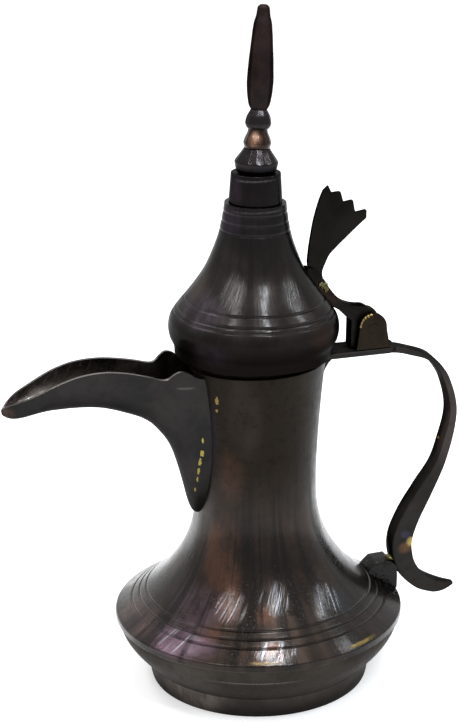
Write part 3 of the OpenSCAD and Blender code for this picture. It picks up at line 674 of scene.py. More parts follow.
bronze_gloss = patina(
    "bronze_gloss", (6.5, 5.2, 5.8), (15.8, 11.9, 12.6), (57.6, 36, 32.4), 0.22, 0.3,
    # The shade darkens the collar's lower band under its bulge: painted shade.
    shade=(233, 236, (8.6, 7.9, 8.6), 0.9), dents=0.05, speckle=0.06, edge=0.5, coat=0.24)
copper_worn = patina(
    "copper_worn", (11.5, 6.5, 5), (25.2, 13, 9.4), (446.4, 237.6, 144), 0.22, 0.34,
    patches=[((0.2, -5, 246.3), (4.4, 4, 4.6))],
    tints=[((0.9, -5.2, 247.2), (2.2, 3, 2.6), (446.4, 302.4, 230.4))],
    speckle=0.05, coat=0.2)
brass_rough = patina(
    "brass_rough", (61.2, 51.8, 18), (194.4, 169.2, 61.2), (540, 504, 324), 0.3, 0.5,
    dents=0.1, speckle=0.5, lumps=0.15)


def dress(obj, body, node, material):
    """Gives the piece its material, hangs it under its body's empty and hides the CAD node that it stands
    for.
    """
    obj.data.materials.clear()
    obj.data.materials.append(material)
    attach(obj, body)
    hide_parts(node)


# ---- Body ----

# Turned solids stop this far from their axis, so that their faces there don't vanish
AXIS_R = 0.01


def handmade(r, z, a):
    """Small unevenness of beaten and turned sheet."""
    return r + 0.22 * rough_at(r, z, a, 38, 3.1) + 0.05 * rough_at(r, z, a, 9, 7.7), z


def ray_dents(z, a, count, seed):
    """Long shallow dents that run up and down the sheet."""
    return noise.noise(Vector((count * cos(a), count * sin(a), z / 45 + seed)))


# Depths of the long dents on the body and the dome, and depth and reach of the waves in the lower edge
BODY_DENT, DOME_DENT, LIP_WAVE, LIP_BAND = 0.3, 0.22, 0.22, 0.8
GROOVES = [37.1, 39.55, 42.0]
GROOVED_TO_Z = 46
shoulder = [(body_r(z), z) for z in [BELLY_Z + (WAIST_Z - BELLY_Z) * (k / 150) ** 1.25 for k in range(151)]]
neck = [(body_r(z), z) for z in [WAIST_Z + (MOUTH_Z - WAIST_Z) * k / 40 for k in range(1, 41)]]
outer = dense([p for p in shoulder if p[1] > BELLY_Z + 0.8] + neck[:-1], 1.2)
outer = (cut(dense([p for p in outer if p[1] < GROOVED_TO_Z], 0.16), GROOVES, 0.5, 0.42)
         + [p for p in outer if p[1] >= GROOVED_TO_Z])
edge = rounded([(BOWL_R + 0.1, LIP_Z), (BELLY_R, LIP_Z), (BELLY_R, BELLY_Z + 0.1), outer[0]], 0.9)
inner = [p for p in moved(shoulder + neck, WALL) if p[0] < BOWL_R - WALL and p[1] < MOUTH_Z - 0.6]
mouth = rounded([outer[-1], (MOUTH_R, MOUTH_Z), (MOUTH_R - WALL, MOUTH_Z), inner[-1]], 0.5)
body_profile = (edge[:-1] + outer[:-1] + mouth[1:-1] + inner[::-3]
                + [(BOWL_R - WALL, BOWL_TOP_Z), (BOWL_R + 0.1, BOWL_TOP_Z)])


def body_shape(r, z, a):
    """The hand-made sheet, with dents on its flank and a wavy lower edge."""
    rr, _ = handmade(r, z, a)
    rr += BODY_DENT * within(z, 44, 58, 80, 110) * ray_dents(z, a, 3.4, 1.7)
    lip = max(0.0, 1 - abs(z - LIP_Z) / LIP_BAND)
    wave = LIP_WAVE * sin(23 * a + 1.3) * noise.noise(Vector((2 * cos(a), 2 * sin(a), 4)))
    return min(rr, BELLY_R), z + lip * wave


upper_body = turned("upper_body_shell", body_profile, segs=288, shape=body_shape)
low_r, low_z = POUR_HALF_W / 2, MOUTH_Z - POUR_DEPTH
opening = [(-POUR_HALF_W, MOUTH_Z + 3), (POUR_HALF_W, MOUTH_Z + 3)]
opening += arc(0, low_z, low_r, range(0, -181, -15))
cut_away(upper_body, skin("pour_cutter", [[(x, y, z) for y, z in opening] for x in (-60, -5)]))
dress(upper_body, "pot", "upper_body", copper_body)

bowl_line = [(FOOT_TOP_R + (BOWL_R - FOOT_TOP_R) * sin(radians(90 * t)), FOOT_H + (LIP_Z - FOOT_H) * t)
             for t in [k / 40 for k in range(41)]]
bowl_inner = [p for p in moved(bowl_line, WALL) if p[1] > FOOT_H + WALL]
bowl_edge_z = BOWL_TOP_Z - 0.1
bowl_profile = (bowl_line + [(BOWL_R, bowl_edge_z), (BOWL_R - WALL, bowl_edge_z)] + bowl_inner[::-1]
                + [(FOOT_TOP_R - 2.4, FOOT_H)])
lower_bowl = turned("lower_bowl_shell", bowl_profile, segs=224, shape=handmade)
dress(lower_bowl, "pot", "lower_bowl", copper_dark)

inner_r = FOOT_R - FOOT_WALL
seat_r, seat_z = FOOT_TOP_R - FOOT_LAND, FOOT_H - BASE_T
foot_outside = [(inner_r + 1, 0.0), (FOOT_R, 0.0), (FOOT_R + 0.5, 1.8), (FOOT_TOP_R, FOOT_H),
                (seat_r, FOOT_H)]
foot_inside = [(seat_r, seat_z), (inner_r, seat_z), (inner_r, 0.4), (inner_r + 0.4, 0.0)]
foot_profile = dense(rounded(foot_outside, 0.7), 1.0) + foot_inside
foot_ring = turned("foot_ring_band", foot_profile, segs=192, shape=handmade)
dress(foot_ring, "pot", "foot_ring", copper_foot)

# The disc's underside, hammered a little hollow
DISC_HOLLOW, DISC_FLAT_R = 0.25, 44
disc_profile = [(AXIS_R, seat_z + DISC_HOLLOW)]
disc_profile += [(r, seat_z + DISC_HOLLOW * (1 - r / DISC_FLAT_R))
                 for r in (8, 16, 24, 32, 40, DISC_FLAT_R)]
disc_profile += [(seat_r, seat_z), (seat_r, FOOT_H), (AXIS_R, FOOT_H)]
base_disc = turned("base_disc_sheet", disc_profile, segs=128)
dress(base_disc, "pot", "base_disc", copper_dark)

# ---- Spout ----

# Along the reach: the rim's height, the ears' extra width, the width that the tip leaves, and the lowest line
SPOUT_RIM = spline([
    (-0.11, -0.043), (-0.02, -0.02), (0.02, 0.012), (0.065, 0.029), (0.1, 0.009), (0.135, -0.022),
    (0.175, -0.02), (0.24, 0.004), (0.34, 0.033), (0.46, 0.052), (0.59, 0.043), (0.71, 0.003),
    (0.825, -0.058), (0.91, -0.101), (0.96, -0.133), (1, -0.171)], 6)
SPOUT_EAR = spline([
    (0, 1), (0.05, 0.95), (0.125, 0.57), (0.165, 0.45), (0.24, 0.28), (0.34, 0.1), (0.45, 0)], 6)
SPOUT_TIP = spline([
    (0.6, 1), (0.71, 0.97), (0.825, 0.86), (0.91, 0.64), (0.96, 0.38), (0.99, 0.14), (1, 0.05)], 6)
SPOUT_KEEL = [
    (1, 0.186), (0.993, 0.206), (0.955, 0.229), (0.895, 0.229), (0.77, 0.204), (0.66, 0.2), (0.55, 0.207),
    (0.44, 0.23), (0.295, 0.29), (0.222, 0.336), (0.174, 0.387), (0.117, 0.475), (0.08, 0.565),
    (0.048, 0.688), (0.022, 0.812), (0, 0.925), (-0.022, 0.985), (-0.055, 1.003), (-0.1, 1.006)]
SPOUT_RUN = SPOUT_REACH - MOUTH_R
SPOUT_SIDES = 40
RIM_ROUND = 0.35
# Faces this near the rim's height that face up this much are the rim
RIM_BAND, RIM_FACING = 0.55, 0.35


def spout_rim_z(x):
    return MOUTH_Z + SPOUT_DROP * lookup(SPOUT_RIM, (-x - MOUTH_R) / SPOUT_RUN)


def outside_neck(x, y, z):
    """Pushes a point that lies inside the neck out to just under its surface."""
    r = body_r(max(z, BELLY_Z)) - NECK_SINK
    if z > MOUTH_Z + 1 or hypot(x, y) >= r:
        return x, y, z
    return -out_of(r, x, y), y, z


def spout_section(x, z, thin):
    """U-shaped section over the keel point (x, z), thin narrower on each side and hammered more inside."""
    s = (-x - MOUTH_R) / SPOUT_RUN
    half = (SPOUT_HALF_W + (SPOUT_EAR_HALF_W - SPOUT_HALF_W) * lookup(SPOUT_EAR, s)) * lookup(SPOUT_TIP, s)
    half = max(0.15, half - thin)
    sideways, down = (1, 1.1) if thin else (0.45, 0.35)
    out = []
    for j in range(SPOUT_SIDES + 1):
        a = radians(180 * j / SPOUT_SIDES - 90)
        y = half * sin(a)
        h = z + (spout_rim_z(x) - z) * (1 - cos(a))
        hammer = 0.16 * rough(x, y, h, 4.5, 5.0 + thin) + 0.2 * rough(x, y, h, 15, 2.0)
        hammer *= max(0.0, cos(a)) ** 0.5
        out.append(outside_neck(x, y + hammer * sin(a) * sideways, h - hammer * down))
    return out


def rim_top(a, b):
    """The point over the middle of the wall that rounds the rim."""
    x, y, z = [(p + q) / 2 for p, q in zip(a, b)]
    return x, y, z + RIM_ROUND


keel = [(-MOUTH_R - SPOUT_RUN * s, MOUTH_Z - SPOUT_DROP * d) for s, d in spline(SPOUT_KEEL, 6)]
rings = []
for (x, z), (thin_x, thin_z) in zip(keel, moved(keel, SPOUT_WALL)):
    outside = spout_section(x, z, 0.0)
    inside = spout_section(thin_x, thin_z, SPOUT_WALL)
    near_top, far_top = rim_top(outside[0], inside[0]), rim_top(outside[-1], inside[-1])
    rings.append(outside + [far_top] + inside[::-1] + [near_top])
spout = skin("spout_channel", rings, sharp=50)
dress(spout, "pot", "spout", bronze_spout)
spout.data.materials.append(spout_inside)
spout.data.materials.append(spout_rim)
for face in spout.data.polygons:
    x, y, z = face.center / MM
    below_rim = spout_rim_z(x) - z
    if abs(below_rim) < RIM_BAND and face.normal.z > RIM_FACING:
        face.material_index = 2
    elif face.normal.dot(Vector((0, -y, below_rim))) > 0:
        face.material_index = 1

# ---- Handle ----

HANDLE_BEND = [
    (0.22, 0.013, 0.82), (0.51, 0.105, 0.71), (0.7, 0.22, 0.74), (0.85, 0.47, 0.85), (0.94, 0.81, 0.94),
    (0.96, 1.1, 1)]
HANDLE_GRIP = [
    (0.16, 0.17, 0.44), (0.32, 0.307, 0.5), (0.575, 0.438, 0.75), (0.85, 0.58, 0.92), (1, 0.705, 1),
    (0.945, 0.83, 0.96), (0.72, 0.924, 0.79), (0.44, 0.975, 0.64), (0.2, 0.994, 0.45), (-0.03, 0.993, 0.12)]
handle_points = [(MOUTH_R - 1, BAR_MID_Z, BAR_T), (PIN_X - TABLE_REACH, BAR_MID_Z, BAR_T)]
handle_points += [(PIN_X + (HANDLE_REACH - PIN_X) * u, BAR_MID_Z - (BAR_MID_Z - HANDLE_BEND_Z) * v,
                   BAR_T * t) for u, v, t in HANDLE_BEND]
handle_points += [(HANDLE_REACH - HANDLE_SWEEP * u, HANDLE_BEND_Z - HANDLE_DROP * v, HANDLE_T * t)
                  for u, v, t in HANDLE_GRIP]
TAIL_START_X, TAIL_END_X = HANDLE_REACH - 3 * BAR_T, HANDLE_REACH + BAR_T
TAIL_TOP_Z = HANDLE_BEND_Z - 0.85 * HANDLE_DROP


def handle_half_w(x, z):
    """Half width of the handle, which narrows to a point at the tail."""
    if z > TAIL_TOP_Z:
        return HANDLE_W / 2
    share = clamp((TAIL_END_X - x) / (TAIL_END_X - TAIL_START_X))
    return HANDLE_W / 2 * min(1.0, 1.06 * share ** 0.75)


# Middle line of the handle as (x, z, half thickness, half width)
handle_line = [(x, z, t / 2, handle_half_w(x, z)) for x, z, t in spline(handle_points, 12)]


def forged(x, y, z):
    """Hammer marks on the forged strap."""
    k = 0.12 * rough(x, y, z, 7, 4.4) + 0.1 * rough(x, y, z, 20, 8.1)
    return x + k, y * (1 + 0.012 * rough(x, 0, z, 9, 2.2)), z + k


section = bar_section((0.3, 0.12))
rings = [[forged(x + n[0] * u * t, v * w, z + n[1] * u * t) for u, v in section]
         for (x, z, t, w), n in zip(handle_line, normals_2d(handle_line))]
bow = skin("handle_strap", rings, sharp=40)
# The table that the hinge ears stand on
table_in_x, table_end_x = MOUTH_R - 0.8, PIN_X + TABLE_REACH
table_flat_x = table_end_x - (TABLE_HALF_W - HANDLE_W / 2)
table_outline = [(table_in_x, -TABLE_HALF_W), (table_flat_x, -TABLE_HALF_W), (table_end_x, -HANDLE_W / 2),
                 (table_end_x, HANDLE_W / 2), (table_flat_x, TABLE_HALF_W), (table_in_x, TABLE_HALF_W)]
table_xy = rounded(table_outline + table_outline[:2], 1.6, 4)[1:-1]
table = skin("table", [[(x, y, z) for x, y in table_xy] for z in (BAR_TOP_Z - TABLE_T, BAR_TOP_Z)])
add_bevel(table, 0.5, 3, 40)
# Its inner end lies on the round neck
shift_mesh(table, lambda x, y, z: (out_of(MOUTH_R - NECK_SINK, x, y), y, z))
handle = join([bow, table], "handle_strap")
dress(handle, "pot", "handle", bronze_dark)

# Root plate under the bar, hugging the neck, and its thickness at the lower edge
ROOT_ROWS, ROOT_STEPS = 6, 12
ROOT_TAIL_T = 0.5
rings = []
for i in range(ROOT_ROWS + 1):
    down = i / ROOT_ROWS
    z = BAR_TOP_Z - BAR_T - ROOT_H * down
    outside, inside = [], []
    for j in range(ROOT_STEPS + 1):
        side = 2 * j / ROOT_STEPS - 1
        y = ROOT_HALF_W * side
        out_r = body_r(z) + (ROOT_T * (1 - down) ** 1.2 + ROOT_TAIL_T) * (1 - 0.55 * abs(side) ** 3)
        outside.append((sqrt(out_r ** 2 - y ** 2), y, z))
        inside.append((sqrt((body_r(z) - ROOT_SINK) ** 2 - y ** 2), y, z))
    rings.append(outside + inside[::-1])
root_plate = skin("handle_root_web", rings, sharp=50)
dress(root_plate, "pot", "handle_root_plate", bronze_lumpy)

# Saddle between shoulder and handle
SADDLE_GRIP, SADDLE_EDGE = 1.8, 2.8
handle_in_x = min(x - t for x, z, t, _ in handle_line if z < HANDLE_BEND_Z - HANDLE_DROP / 2)
out_x = handle_in_x + SADDLE_GRIP
in_x = handle_in_x - SADDLE_LEN
saddle_low = BELLY_Z + 0.2
saddle_outline = [(body_r(saddle_low) - NECK_SINK, saddle_low), (min(out_x, BELLY_R) - 0.2, saddle_low),
                  (out_x, SADDLE_TOP_Z - SADDLE_LEN), (out_x, SADDLE_TOP_Z - SADDLE_EDGE),
                  (out_x - SADDLE_EDGE, SADDLE_TOP_Z), (in_x, SADDLE_TOP_Z),
                  (in_x - SADDLE_EDGE, SADDLE_TOP_Z - SADDLE_EDGE)]
saddle_outline += [(body_r(z) - NECK_SINK, z) for z in (41.5, 39.5, 37.5, 35.5)]
saddle = plate("saddle_block", saddle_outline, -SADDLE_HALF_W, SADDLE_HALF_W, 0.9, 4)


def saddle_fit(x, y, z):
    """Keeps the saddle's underside on the round shoulder and gives it a filed, uneven face."""
    k = 0.18 * rough(x, y, z, 6, 1.1)
    x = out_of(body_r(max(z, BELLY_Z)) - SHOULDER_SINK, x, y)
    pinch = 1 - 0.16 * clamp((z - 40) / 6) * (1 if x < in_x + 3 else 0.4)
    return x + k, y * pinch, z + 0.5 * k


shift_mesh(saddle, saddle_fit)
dress(saddle, "pot", "handle_saddle", bronze_lumpy)


def blob(name, centre, radii, seed, keep=None):
    """A rough lump of brazing metal."""
    bm = bmesh.new()
    bmesh.ops.create_icosphere(bm, subdivisions=4, radius=1.0)
    for v in bm.verts:
        p = v.co.normalized()
        k = 1 + 0.35 * noise.noise(p * 2.2 + Vector((seed, 0, 0)))
        k += 0.12 * noise.noise(p * 7 + Vector((0, seed, 0)))
        v.co = Vector([centre[i] + p[i] * radii[i] * k for i in range(3)])
        if keep:
            v.co = Vector(keep(*v.co))
        v.co *= MM
    mesh = bpy.data.meshes.new(name)
    bm.to_mesh(mesh)
    bm.free()
    mesh.shade_smooth()
    return add_object(name, mesh)


saddle_braze = blob("saddle_braze_lump", (handle_in_x - 0.4, -1.6, SADDLE_TOP_Z + 0.2), (1.5, 2.6, 1.0), 2.0)
dress(saddle_braze, "pot", "saddle_braze", brass_rough)

# ---- Hinge ----

ear_in_y = STRAP_W / 2 + EAR_GAP
ear_out_y = ear_in_y + EAR_T
ear_foot = EAR_R + EAR_SPREAD
ear_outline = [(PIN_X + ear_foot, BAR_TOP_Z - 0.02), (PIN_X + EAR_R + 0.15, PIN_Z - 2)]
ear_outline += arc(PIN_X, PIN_Z, EAR_R, range(0, 181, 9))
ear_outline += [(PIN_X - EAR_R - 0.15, PIN_Z - 2), (PIN_X - ear_foot, BAR_TOP_Z - 0.02)]
# Bare metal on the near cheek's edge
EAR_MARKS = [((x, -ear_out_y, z), (0.7, 1.2, 1.0)) for x, z in arc(PIN_X, PIN_Z, 6.0, range(168, 97, -14))]
ear_metal = patina(
    "ear_metal", (8.5, 7, 5.6), (17.5, 13, 9.5), (36, 23, 14.4), 0.25, 0.4,
    dents=0.05, marks=EAR_MARKS, mark_colour=(220, 160, 58), edge=0.3)
for side_name, side in (("near", -1), ("far", 1)):
    y0, y1 = sorted((side * ear_in_y, side * ear_out_y))
    ear = plate(f"hinge_ear_{side_name}_cheek", ear_outline, y0, y1, 0.55, 4)
    dress(ear, "pot", f"hinge_ear_{side_name}", ear_metal)


def pin_shape(r, z, a):
    """Peened, slightly uneven ends on a round pin."""
    if abs(z) <= ear_out_y + 0.05:
        return r, z
    return r + 0.1 * noise.noise(Vector((1.5 * cos(a), 1.5 * sin(a), z))), z


half_head = [(PIN_HEAD_R * r, -ear_out_y - PIN_HEAD_H * h)
             for r, h in ((0.45, 0.98), (0.75, 0.85), (0.92, 0.5), (0.98, 0.2), (1, 0))]
half_head.append((PIN_R, -ear_out_y))
pin_profile = ([(AXIS_R, -ear_out_y - PIN_HEAD_H)] + half_head + [(r, -z) for r, z in half_head[::-1]]
               + [(AXIS_R, ear_out_y + PIN_HEAD_H)])
hinge_pin = place(turned("hinge_pin_rivet", pin_profile, segs=48, shape=pin_shape, ends="open"), ALONG_PIN)
dress(hinge_pin, "pot", "hinge_pin", ear_metal)

# ---- Lid ----

LID_CURVE = [
    (0.88, 0), (0.9, 0.06), (0.975, 0.12), (1, 0.185), (0.965, 0.25), (0.85, 0.315), (0.685, 0.39),
    (0.515, 0.47), (0.355, 0.56), (0.235, 0.655), (0.11, 0.78), (0.04, 0.9), (0, 1)]
lid_line = [(DOME_TOP_R + (LID_R - DOME_TOP_R) * s, RIM_Z + DOME_H * h) for s, h in spline(LID_CURVE, 16)]
lid_pairs = [(z, r) for r, z in lid_line]


def lid_r_at(z):
    return lookup(lid_pairs, z)


LID_GROOVES = [RIM_Z + LID_GROOVE_Z + k * LID_GROOVE_STEP for k in (0, 1, 3)]
LID_TOP_GROOVES = [LID_TOP_Z - k * LID_TOP_GROOVE_STEP for k in (1, 2, 3)]
lid_outer = cut(cut(dense(lid_line, 0.2), LID_GROOVES, 0.42, 0.42), LID_TOP_GROOVES, 0.22, 0.55)
lid_inner = [p for p in moved(lid_line, WALL) if RIM_Z + 2 * WALL < p[1] < LID_TOP_Z - WALL]
rim_r = lid_line[0][0]
drum_in_r = DRUM_R - WALL
lid_profile = (rounded([(rim_r - WALL, RIM_Z), (rim_r, RIM_Z), lid_outer[3]], 0.4)[:-1] + lid_outer[3:-1]
               + rounded([lid_outer[-2], (DOME_TOP_R, LID_TOP_Z), (drum_in_r, LID_TOP_Z)], 0.5)[1:]
               + [(drum_in_r, LID_TOP_Z - WALL)] + lid_inner[::-4] + [(rim_r - WALL, RIM_Z + WALL)])


def lid_shape(r, z, a):
    """Beaten sheet with dents on the dome's flank."""
    dents = DOME_DENT * within(z, 175, 183, 198, 212) * ray_dents(z, a, 3.2, 6.1)
    return r + 0.12 * rough_at(r, z, a, 30, 9.3) + dents, z


lid_dome = place(turned("lid_dome_shell", lid_profile, segs=288, shape=lid_shape), LID_PLACE)
dress(lid_dome, "lid", "lid_dome", copper_lid)


def drum_shape(r, z, a):
    return r + 0.08 * rough_at(r, z, a, 9, 1.2), z


drum_top_r = DRUM_R - DRUM_TAPER
drum_bore_r = ROD_R + 0.1
drum_outside = [(drum_in_r, LID_TOP_Z), (DRUM_R, LID_TOP_Z), (DRUM_R - 0.1, LID_TOP_Z + 1.2),
                (drum_top_r, DRUM_TOP_Z), (drum_top_r - 1.8, DRUM_TOP_Z),
                (drum_top_r - 2.2, DRUM_TOP_Z - 0.25), (drum_bore_r, DRUM_TOP_Z - 0.1)]
drum_inside = [(drum_bore_r, DRUM_TOP_Z - WALL), (drum_top_r - WALL, DRUM_TOP_Z - WALL)]
drum_profile = dense(rounded(drum_outside, 0.45), 1.0) + drum_inside
lid_drum = place(turned("lid_drum_wall", drum_profile, segs=128, shape=drum_shape), LID_PLACE)
dress(lid_drum, "lid", "lid_drum", copper_drum)

flange_r = MOUTH_R - WALL - FLANGE_CLEAR
flange_low = MOUTH_Z - FLANGE_DEPTH
flange_profile = [(flange_r - WALL, RIM_Z + WALL), (flange_r - WALL, flange_low), (flange_r, flange_low),
                  (flange_r, RIM_Z), (rim_r - WALL, RIM_Z)]
flange_profile = rounded(flange_profile, 0.35) + [(rim_r - WALL, RIM_Z + WALL)]
lid_flange = place(turned("lid_flange_ring", flange_profile, segs=160), LID_PLACE)
dress(lid_flange, "lid", "lid_flange", copper_dark)

# Strap from the dome's flank to the hinge
STRAP_ON_LID = [(0.12, 1.13, 0.22), (0.3, 1.06, 0.8), (0.35, 0.94, 1), (0.24, 0.79, 0.97), (0.34, 0.66, 0.89)]
STRAP_TO_PIN = [(-2.41, 1.7, 0.72), (-1.8, 1.29, 1)]
STRAP_HUMP = [(-0.98, 1.61), (-0.42, 1.54), (0.18, 1.16), (0.8, 0.5)]
strap_points = [(lid_r_at(RIM_Z + FAN_FOOT_H * h) + STRAP_T * d, RIM_Z + FAN_FOOT_H * h, STRAP_T * t)
                for d, h, t in STRAP_ON_LID]
strap_points += [(PIN_X + KNUCKLE_R * x, PIN_Z + KNUCKLE_R * z, KNUCKLE_R * t) for x, z, t in STRAP_TO_PIN]
strap_line = spline(strap_points)


def strap_edge(side):
    """The strap's upper edge for side 1, its lower edge for side -1."""
    return [(x + side * n[0] * t / 2, z + side * n[1] * t / 2)
            for (x, z, t), n in zip(strap_line, normals_2d(strap_line))]


strap_high = strap_edge(1)
heel_z = BAR_TOP_Z + HEEL_GAP
heel_x = PIN_X - HEEL_REACH
heel_top = (heel_x, PIN_Z + KNUCKLE_R / 2)
knuckle = arc(PIN_X, PIN_Z, KNUCKLE_R, range(20, -95, -8))
hump = [strap_high[-1]] + [(PIN_X + KNUCKLE_R * x, PIN_Z + KNUCKLE_R * z) for x, z in STRAP_HUMP]
strap_outline = (strap_high + spline(hump, 5)[1:] + knuckle
                 + rounded([knuckle[-1], (heel_x + HEEL_LEN, heel_z + 1.2), (heel_x + HEEL_LEN, heel_z),
                            (heel_x, heel_z), heel_top], 0.6)[1:-1] + [heel_top] + strap_edge(-1)[::-1])
strap = plate("lid_strap_arm", strap_outline, -STRAP_W / 2, STRAP_W / 2, 0.5)


def strap_fit(x, y, z):
    """Narrows the arm towards its upper end and lays its underside on the round flank."""
    y *= 1 - 0.25 * clamp((z - 168) / 20)
    k = 0.12 * rough(x, y, z, 5, 3.3)
    if z > RIM_Z:
        x = out_of(lid_r_at(z) - LID_SINK, x, y)
    if x < heel_x - 1:
        x, z = x + k, z + k
    return x, y, z


shift_mesh(strap, strap_fit)
bore_r = PIN_R + PIN_CLEAR
bore_profile = [(bore_r, -STRAP_W), (bore_r, STRAP_W), (AXIS_R, STRAP_W), (AXIS_R, -STRAP_W)]
cut_away(strap, place(turned("bore", bore_profile, segs=48), ALONG_PIN))
place(strap, LID_PLACE)
dress(strap, "lid", "lid_strap", bronze_black)

FAN_BACK = [(0.1, -0.04), (0, 0.13), (0.01, 0.3), (0.04, 0.45), (0.085, 0.63), (0.16, 0.82), (0.235, 0.95)]
FAN_POINTS = [
    (0.32, 1), (0.38, 0.92), (0.535, 0.93), (0.59, 0.81), (0.755, 0.83), (0.8, 0.69), (1, 0.715), (1, 0.62)]
FAN_FRONT = [
    (0.865, 0.545), (0.665, 0.425), (0.51, 0.33), (0.37, 0.235), (0.3, 0.14), (0.25, 0.05), (0.27, -0.04)]
fan_foot = (lid_r_at(RIM_Z + FAN_FOOT_H) - FAN_T / 2, RIM_Z + FAN_FOOT_H)
fan_points = spline(FAN_BACK) + rounded(FAN_POINTS, 0.02, 2) + spline(FAN_FRONT)
fan_outline = [(fan_foot[0] + FAN_W * x, fan_foot[1] + FAN_H * z) for x, z in fan_points]
fan = plate("thumb_fan_plate", fan_outline, -FAN_T / 2, FAN_T / 2, 0.35)


def fan_fit(x, y, z):
    """Thins the plate towards its points and bows it a little, as a beaten plate is."""
    up = clamp((z - fan_foot[1]) / FAN_H)
    y = y * (1 - 0.35 * up) + 0.35 * sin(3.0 * up) * (1 - up)
    return out_of(lid_r_at(z) - LID_SINK, x, y), y, z


shift_mesh(fan, fan_fit)
place(fan, LID_PLACE)
dress(fan, "lid", "thumb_fan", bronze_black)

# Brazing metal run over both faces of the arm under the fan
BRAZE_STEP = 20
braze_x, braze_z = [0.75 * strap_line[BRAZE_STEP][k] + 0.25 * strap_high[BRAZE_STEP][k] for k in (0, 1)]
braze_half_w = STRAP_W / 2 + BRAZE_LAP


def braze_keep(x, y, z):
    """Keeps a lump inside its round of brazing metal, proud of the two faces of the strap."""
    y = copysign(braze_half_w * sin(min(1.0, abs(y) / (1.6 * braze_half_w)) * pi / 2), y)
    k = min(1.0, FAN_BRAZE_R / max(hypot(x - braze_x, z - braze_z), 0.01))
    return braze_x + (x - braze_x) * k, y, braze_z + (z - braze_z) * k


lumps = []
for k, (dx, dz, r) in enumerate([(-1.2, 1.35, 1.5), (0.15, 0.15, 2.0), (1.2, -1.35, 1.5)]):
    radii = (r, 1.7 * braze_half_w, r)
    lumps.append(blob(f"braze_{k}", (braze_x + dx, 0, braze_z + dz), radii, 4.0 + k, braze_keep))
fan_braze = place(join(lumps, "fan_braze_lumps"), LID_PLACE)
dress(fan_braze, "lid", "fan_braze", brass_rough)

# ---- Finial ----

COLLAR_CURVE = [(0.86, 0), (0.94, 0.14), (0.99, 0.32), (1, 0.46), (0.86, 0.66), (0.7, 0.86), (0.61, 1)]
LOWER_BEAD = [(0.95, 0), (1.05, 0.16), (1.07, 0.34), (0.95, 0.58), (0.8, 0.8), (0.75, 1)]
UPPER_BEAD = [(0.78, 0), (0.96, 0.16), (1.01, 0.4), (0.9, 0.68), (0.64, 1)]
SPINDLE = [
    (0.62, 0), (0.8, 0.045), (0.92, 0.13), (0.98, 0.21), (1, 0.29), (0.975, 0.36), (0.92, 0.485),
    (0.83, 0.625), (0.755, 0.74), (0.68, 0.825), (0.53, 0.895), (0.475, 0.95), (0.42, 0.98), (0.25, 1)]


def faceted(r, a, sides, share, turn):
    """Radius at angle a, part way from a circle to a polygon of the same corner radius."""
    step = 2 * pi / sides
    b = (a + turn) % step - step / 2
    return r * (1 - share + share * cos(step / 2) / cos(b))


def finial_piece(node, suffix, curve, r, z, h, sides, share_at, turn, metal, top=None):
    """A turned and filed piece; share_at gives how flat its facets are, up its height."""
    profile = [(r * s, z + h * t) for s, t in spline(curve)] + (top or [(ROD_R, z + h)]) + [(ROD_R, z)]

    def shape(rr, zz, a):
        if rr <= ROD_R + 0.01:
            return rr, zz
        flat = faceted(rr, a, sides, share_at((zz - z) / h), turn)
        return flat + 0.05 * rough_at(rr, zz, a, 3.5, r), zz

    piece = turned(f"{node}_{suffix}", profile, segs=192, shape=shape, sharp=28.0)
    dress(place(piece, FINIAL_PLACE), "lid", node, metal)


upper_bead_z = COLLAR_H + BEAD_H
spindle_z = upper_bead_z + BEAD_H
spindle_top = [(AXIS_R, spindle_z + SPINDLE_H), (AXIS_R, spindle_z + SPINDLE_H * 0.5)]
finial_piece("finial_collar", "cup", COLLAR_CURVE, COLLAR_R, 0, COLLAR_H, 16,
             lambda t: clamp((t - 0.44) / 0.08), 0.284, bronze_gloss)
finial_piece("finial_lower_bead", "turn", LOWER_BEAD, BEAD_R, COLLAR_H, BEAD_H, 12,
             lambda t: 0.9 * clamp((t - 0.3) / 0.1), 0.2, copper_worn)
finial_piece("finial_upper_bead", "turn", UPPER_BEAD, BEAD_R, upper_bead_z, BEAD_H, 10,
             lambda t: clamp((t - 0.32) / 0.1), 0.087, bronze_gloss)
finial_piece("finial_spindle", "turn", SPINDLE, SPINDLE_R, spindle_z, SPINDLE_H, 8,
             lambda t: 0.75, 0.3, bronze_brown, spindle_top)

for node_name in ("finial_rod", "finial_washer"):
    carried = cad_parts[node_name]
    carried.data.materials.clear()
    carried.data.materials.append(bronze_dark)

# ---- Camera ----

AZIMUTH, PITCH, ROLL = 15.0, 18.74, 1.2
DISTANCE, EYE_Z, SIDE = 0.8211, 0.4259, 0.0104
FOCAL_PX, IMAGE_H, SENSOR = 1996.1, 722.0, 36.0
ahead = Vector((sin(radians(AZIMUTH)), cos(radians(AZIMUTH)), 0))
across = Vector((ahead.y, -ahead.x, 0))
look = ahead * cos(radians(PITCH)) - Vector((0, 0, sin(radians(PITCH))))
upright = across.cross(look)
right = across * cos(radians(ROLL)) - upright * sin(radians(ROLL))
up = across * sin(radians(ROLL)) + upright * cos(radians(ROLL))
eye = -ahead * DISTANCE - across * SIDE + Vector((0, 0, EYE_Z))
camera_data = bpy.data.cameras.new("camera")
camera_data.lens = FOCAL_PX / IMAGE_H * SENSOR
camera_data.sensor_width = SENSOR
camera_data.clip_start = 0.01
camera_data.clip_end = 20
camera = add_object("camera", camera_data)
camera.matrix_world = Matrix.Translation(eye) @ Matrix((right, up, -look)).transposed().to_4x4()
bpy.context.scene.camera = camera

# ---- Studio ----

TARGET = Vector((0, 0, 0.11))
WHITE, COOL, PALE = (1, 1, 1), (0.88, 0.94, 1.0), (0.9, 0.95, 1.0)


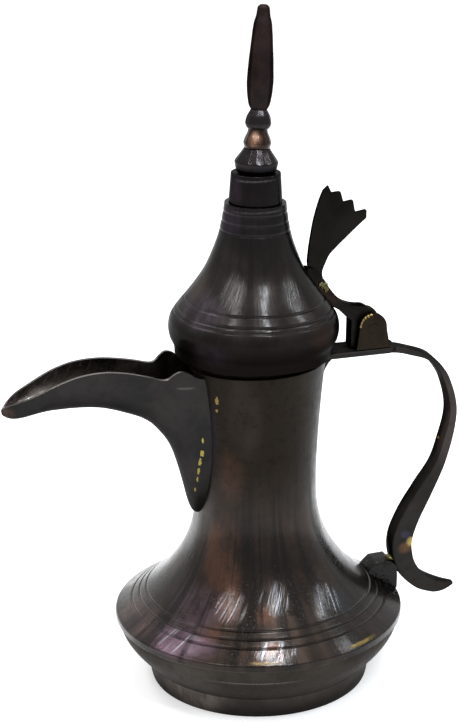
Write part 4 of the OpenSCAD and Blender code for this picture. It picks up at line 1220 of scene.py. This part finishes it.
def lamp(name, azimuth, elevation, distance, size, power, colour):
    """A soft box aimed at the pot, azimuth in degrees to the right of the camera."""
    data = bpy.data.lights.new(name, "AREA")
    data.shape = "RECTANGLE"
    data.size, data.size_y = size
    data.energy = power
    data.color = colour
    side, rise = radians(azimuth), radians(elevation)
    flat_dir = -ahead * cos(side) + across * sin(side)
    direction = flat_dir * cos(rise) + Vector((0, 0, sin(rise)))
    obj = add_object(name, data)
    obj.location = TARGET + direction * distance
    obj.rotation_euler = direction.to_track_quat("Z", "Y").to_euler()


lamp("window_key", 27, 54, 1.6, (0.05, 0.45), 11.0, COOL)
lamp("window_right", 90, 42, 1.6, (0.12, 0.5), 5.5, COOL)
lamp("window_left", -42, 53, 1.7, (0.2, 0.5), 6.0, WHITE)
lamp("window_top", 55, 82, 1.5, (0.24, 0.14), 11.0, PALE)
lamp("window_top_left", -109, 58, 1.6, (0.45, 0.25), 7.0, WHITE)
lamp("window_top_right", 114, 53, 1.6, (0.12, 0.2), 1.4, PALE)
lamp("window_back", 180, 50, 1.6, (1.2, 0.4), 4.0, WHITE)

# White to the camera and in reflections, plainer as light on rough surfaces
WORLD_LIGHT, WORLD_SEEN = 0.62, 1.0
world = bpy.data.worlds.new("studio")
bpy.context.scene.world = world
sky = Tree(world)
strength = sky.node("Mix")
for value, socket in zip((sky.plain_sight(), WORLD_LIGHT, WORLD_SEEN), (0, 2, 3)):
    sky.put(value, strength.inputs[socket])
background = sky.node("Background", Strength=strength.outputs[0], Color=(1, 1, 1, 1))
sky.node("OutputWorld", Surface=background.outputs[0])

FLOOR_HALF, FLOOR_GREY, FLOOR_GLOW = 6.0, 0.8, 0.42
floor_mesh = bpy.data.meshes.new("floor")
floor_corners = [(x * FLOOR_HALF, y * FLOOR_HALF, 0) for x, y in ((-1, -1), (1, -1), (1, 1), (-1, 1))]
floor_mesh.from_pydata(floor_corners, [], [[0, 1, 2, 3]])
floor_mat = bpy.data.materials.new("floor_white")
paint = Tree(floor_mat)
diffuse = paint.node("BsdfDiffuse", Color=(FLOOR_GREY, FLOOR_GREY, FLOOR_GREY, 1))
glow = paint.node("Emission", Color=(1, 1, 1, 1),
                  Strength=paint.times(paint.plain_sight(), FLOOR_GLOW))
both = paint.node("AddShader")
paint.put(diffuse.outputs[0], both.inputs[0])
paint.put(glow.outputs[0], both.inputs[1])
paint.node("OutputMaterial", Surface=both.outputs[0])
floor_mesh.materials.append(floor_mat)
add_object("floor", floor_mesh)

bpy.context.scene.view_settings.view_transform = "Standard"
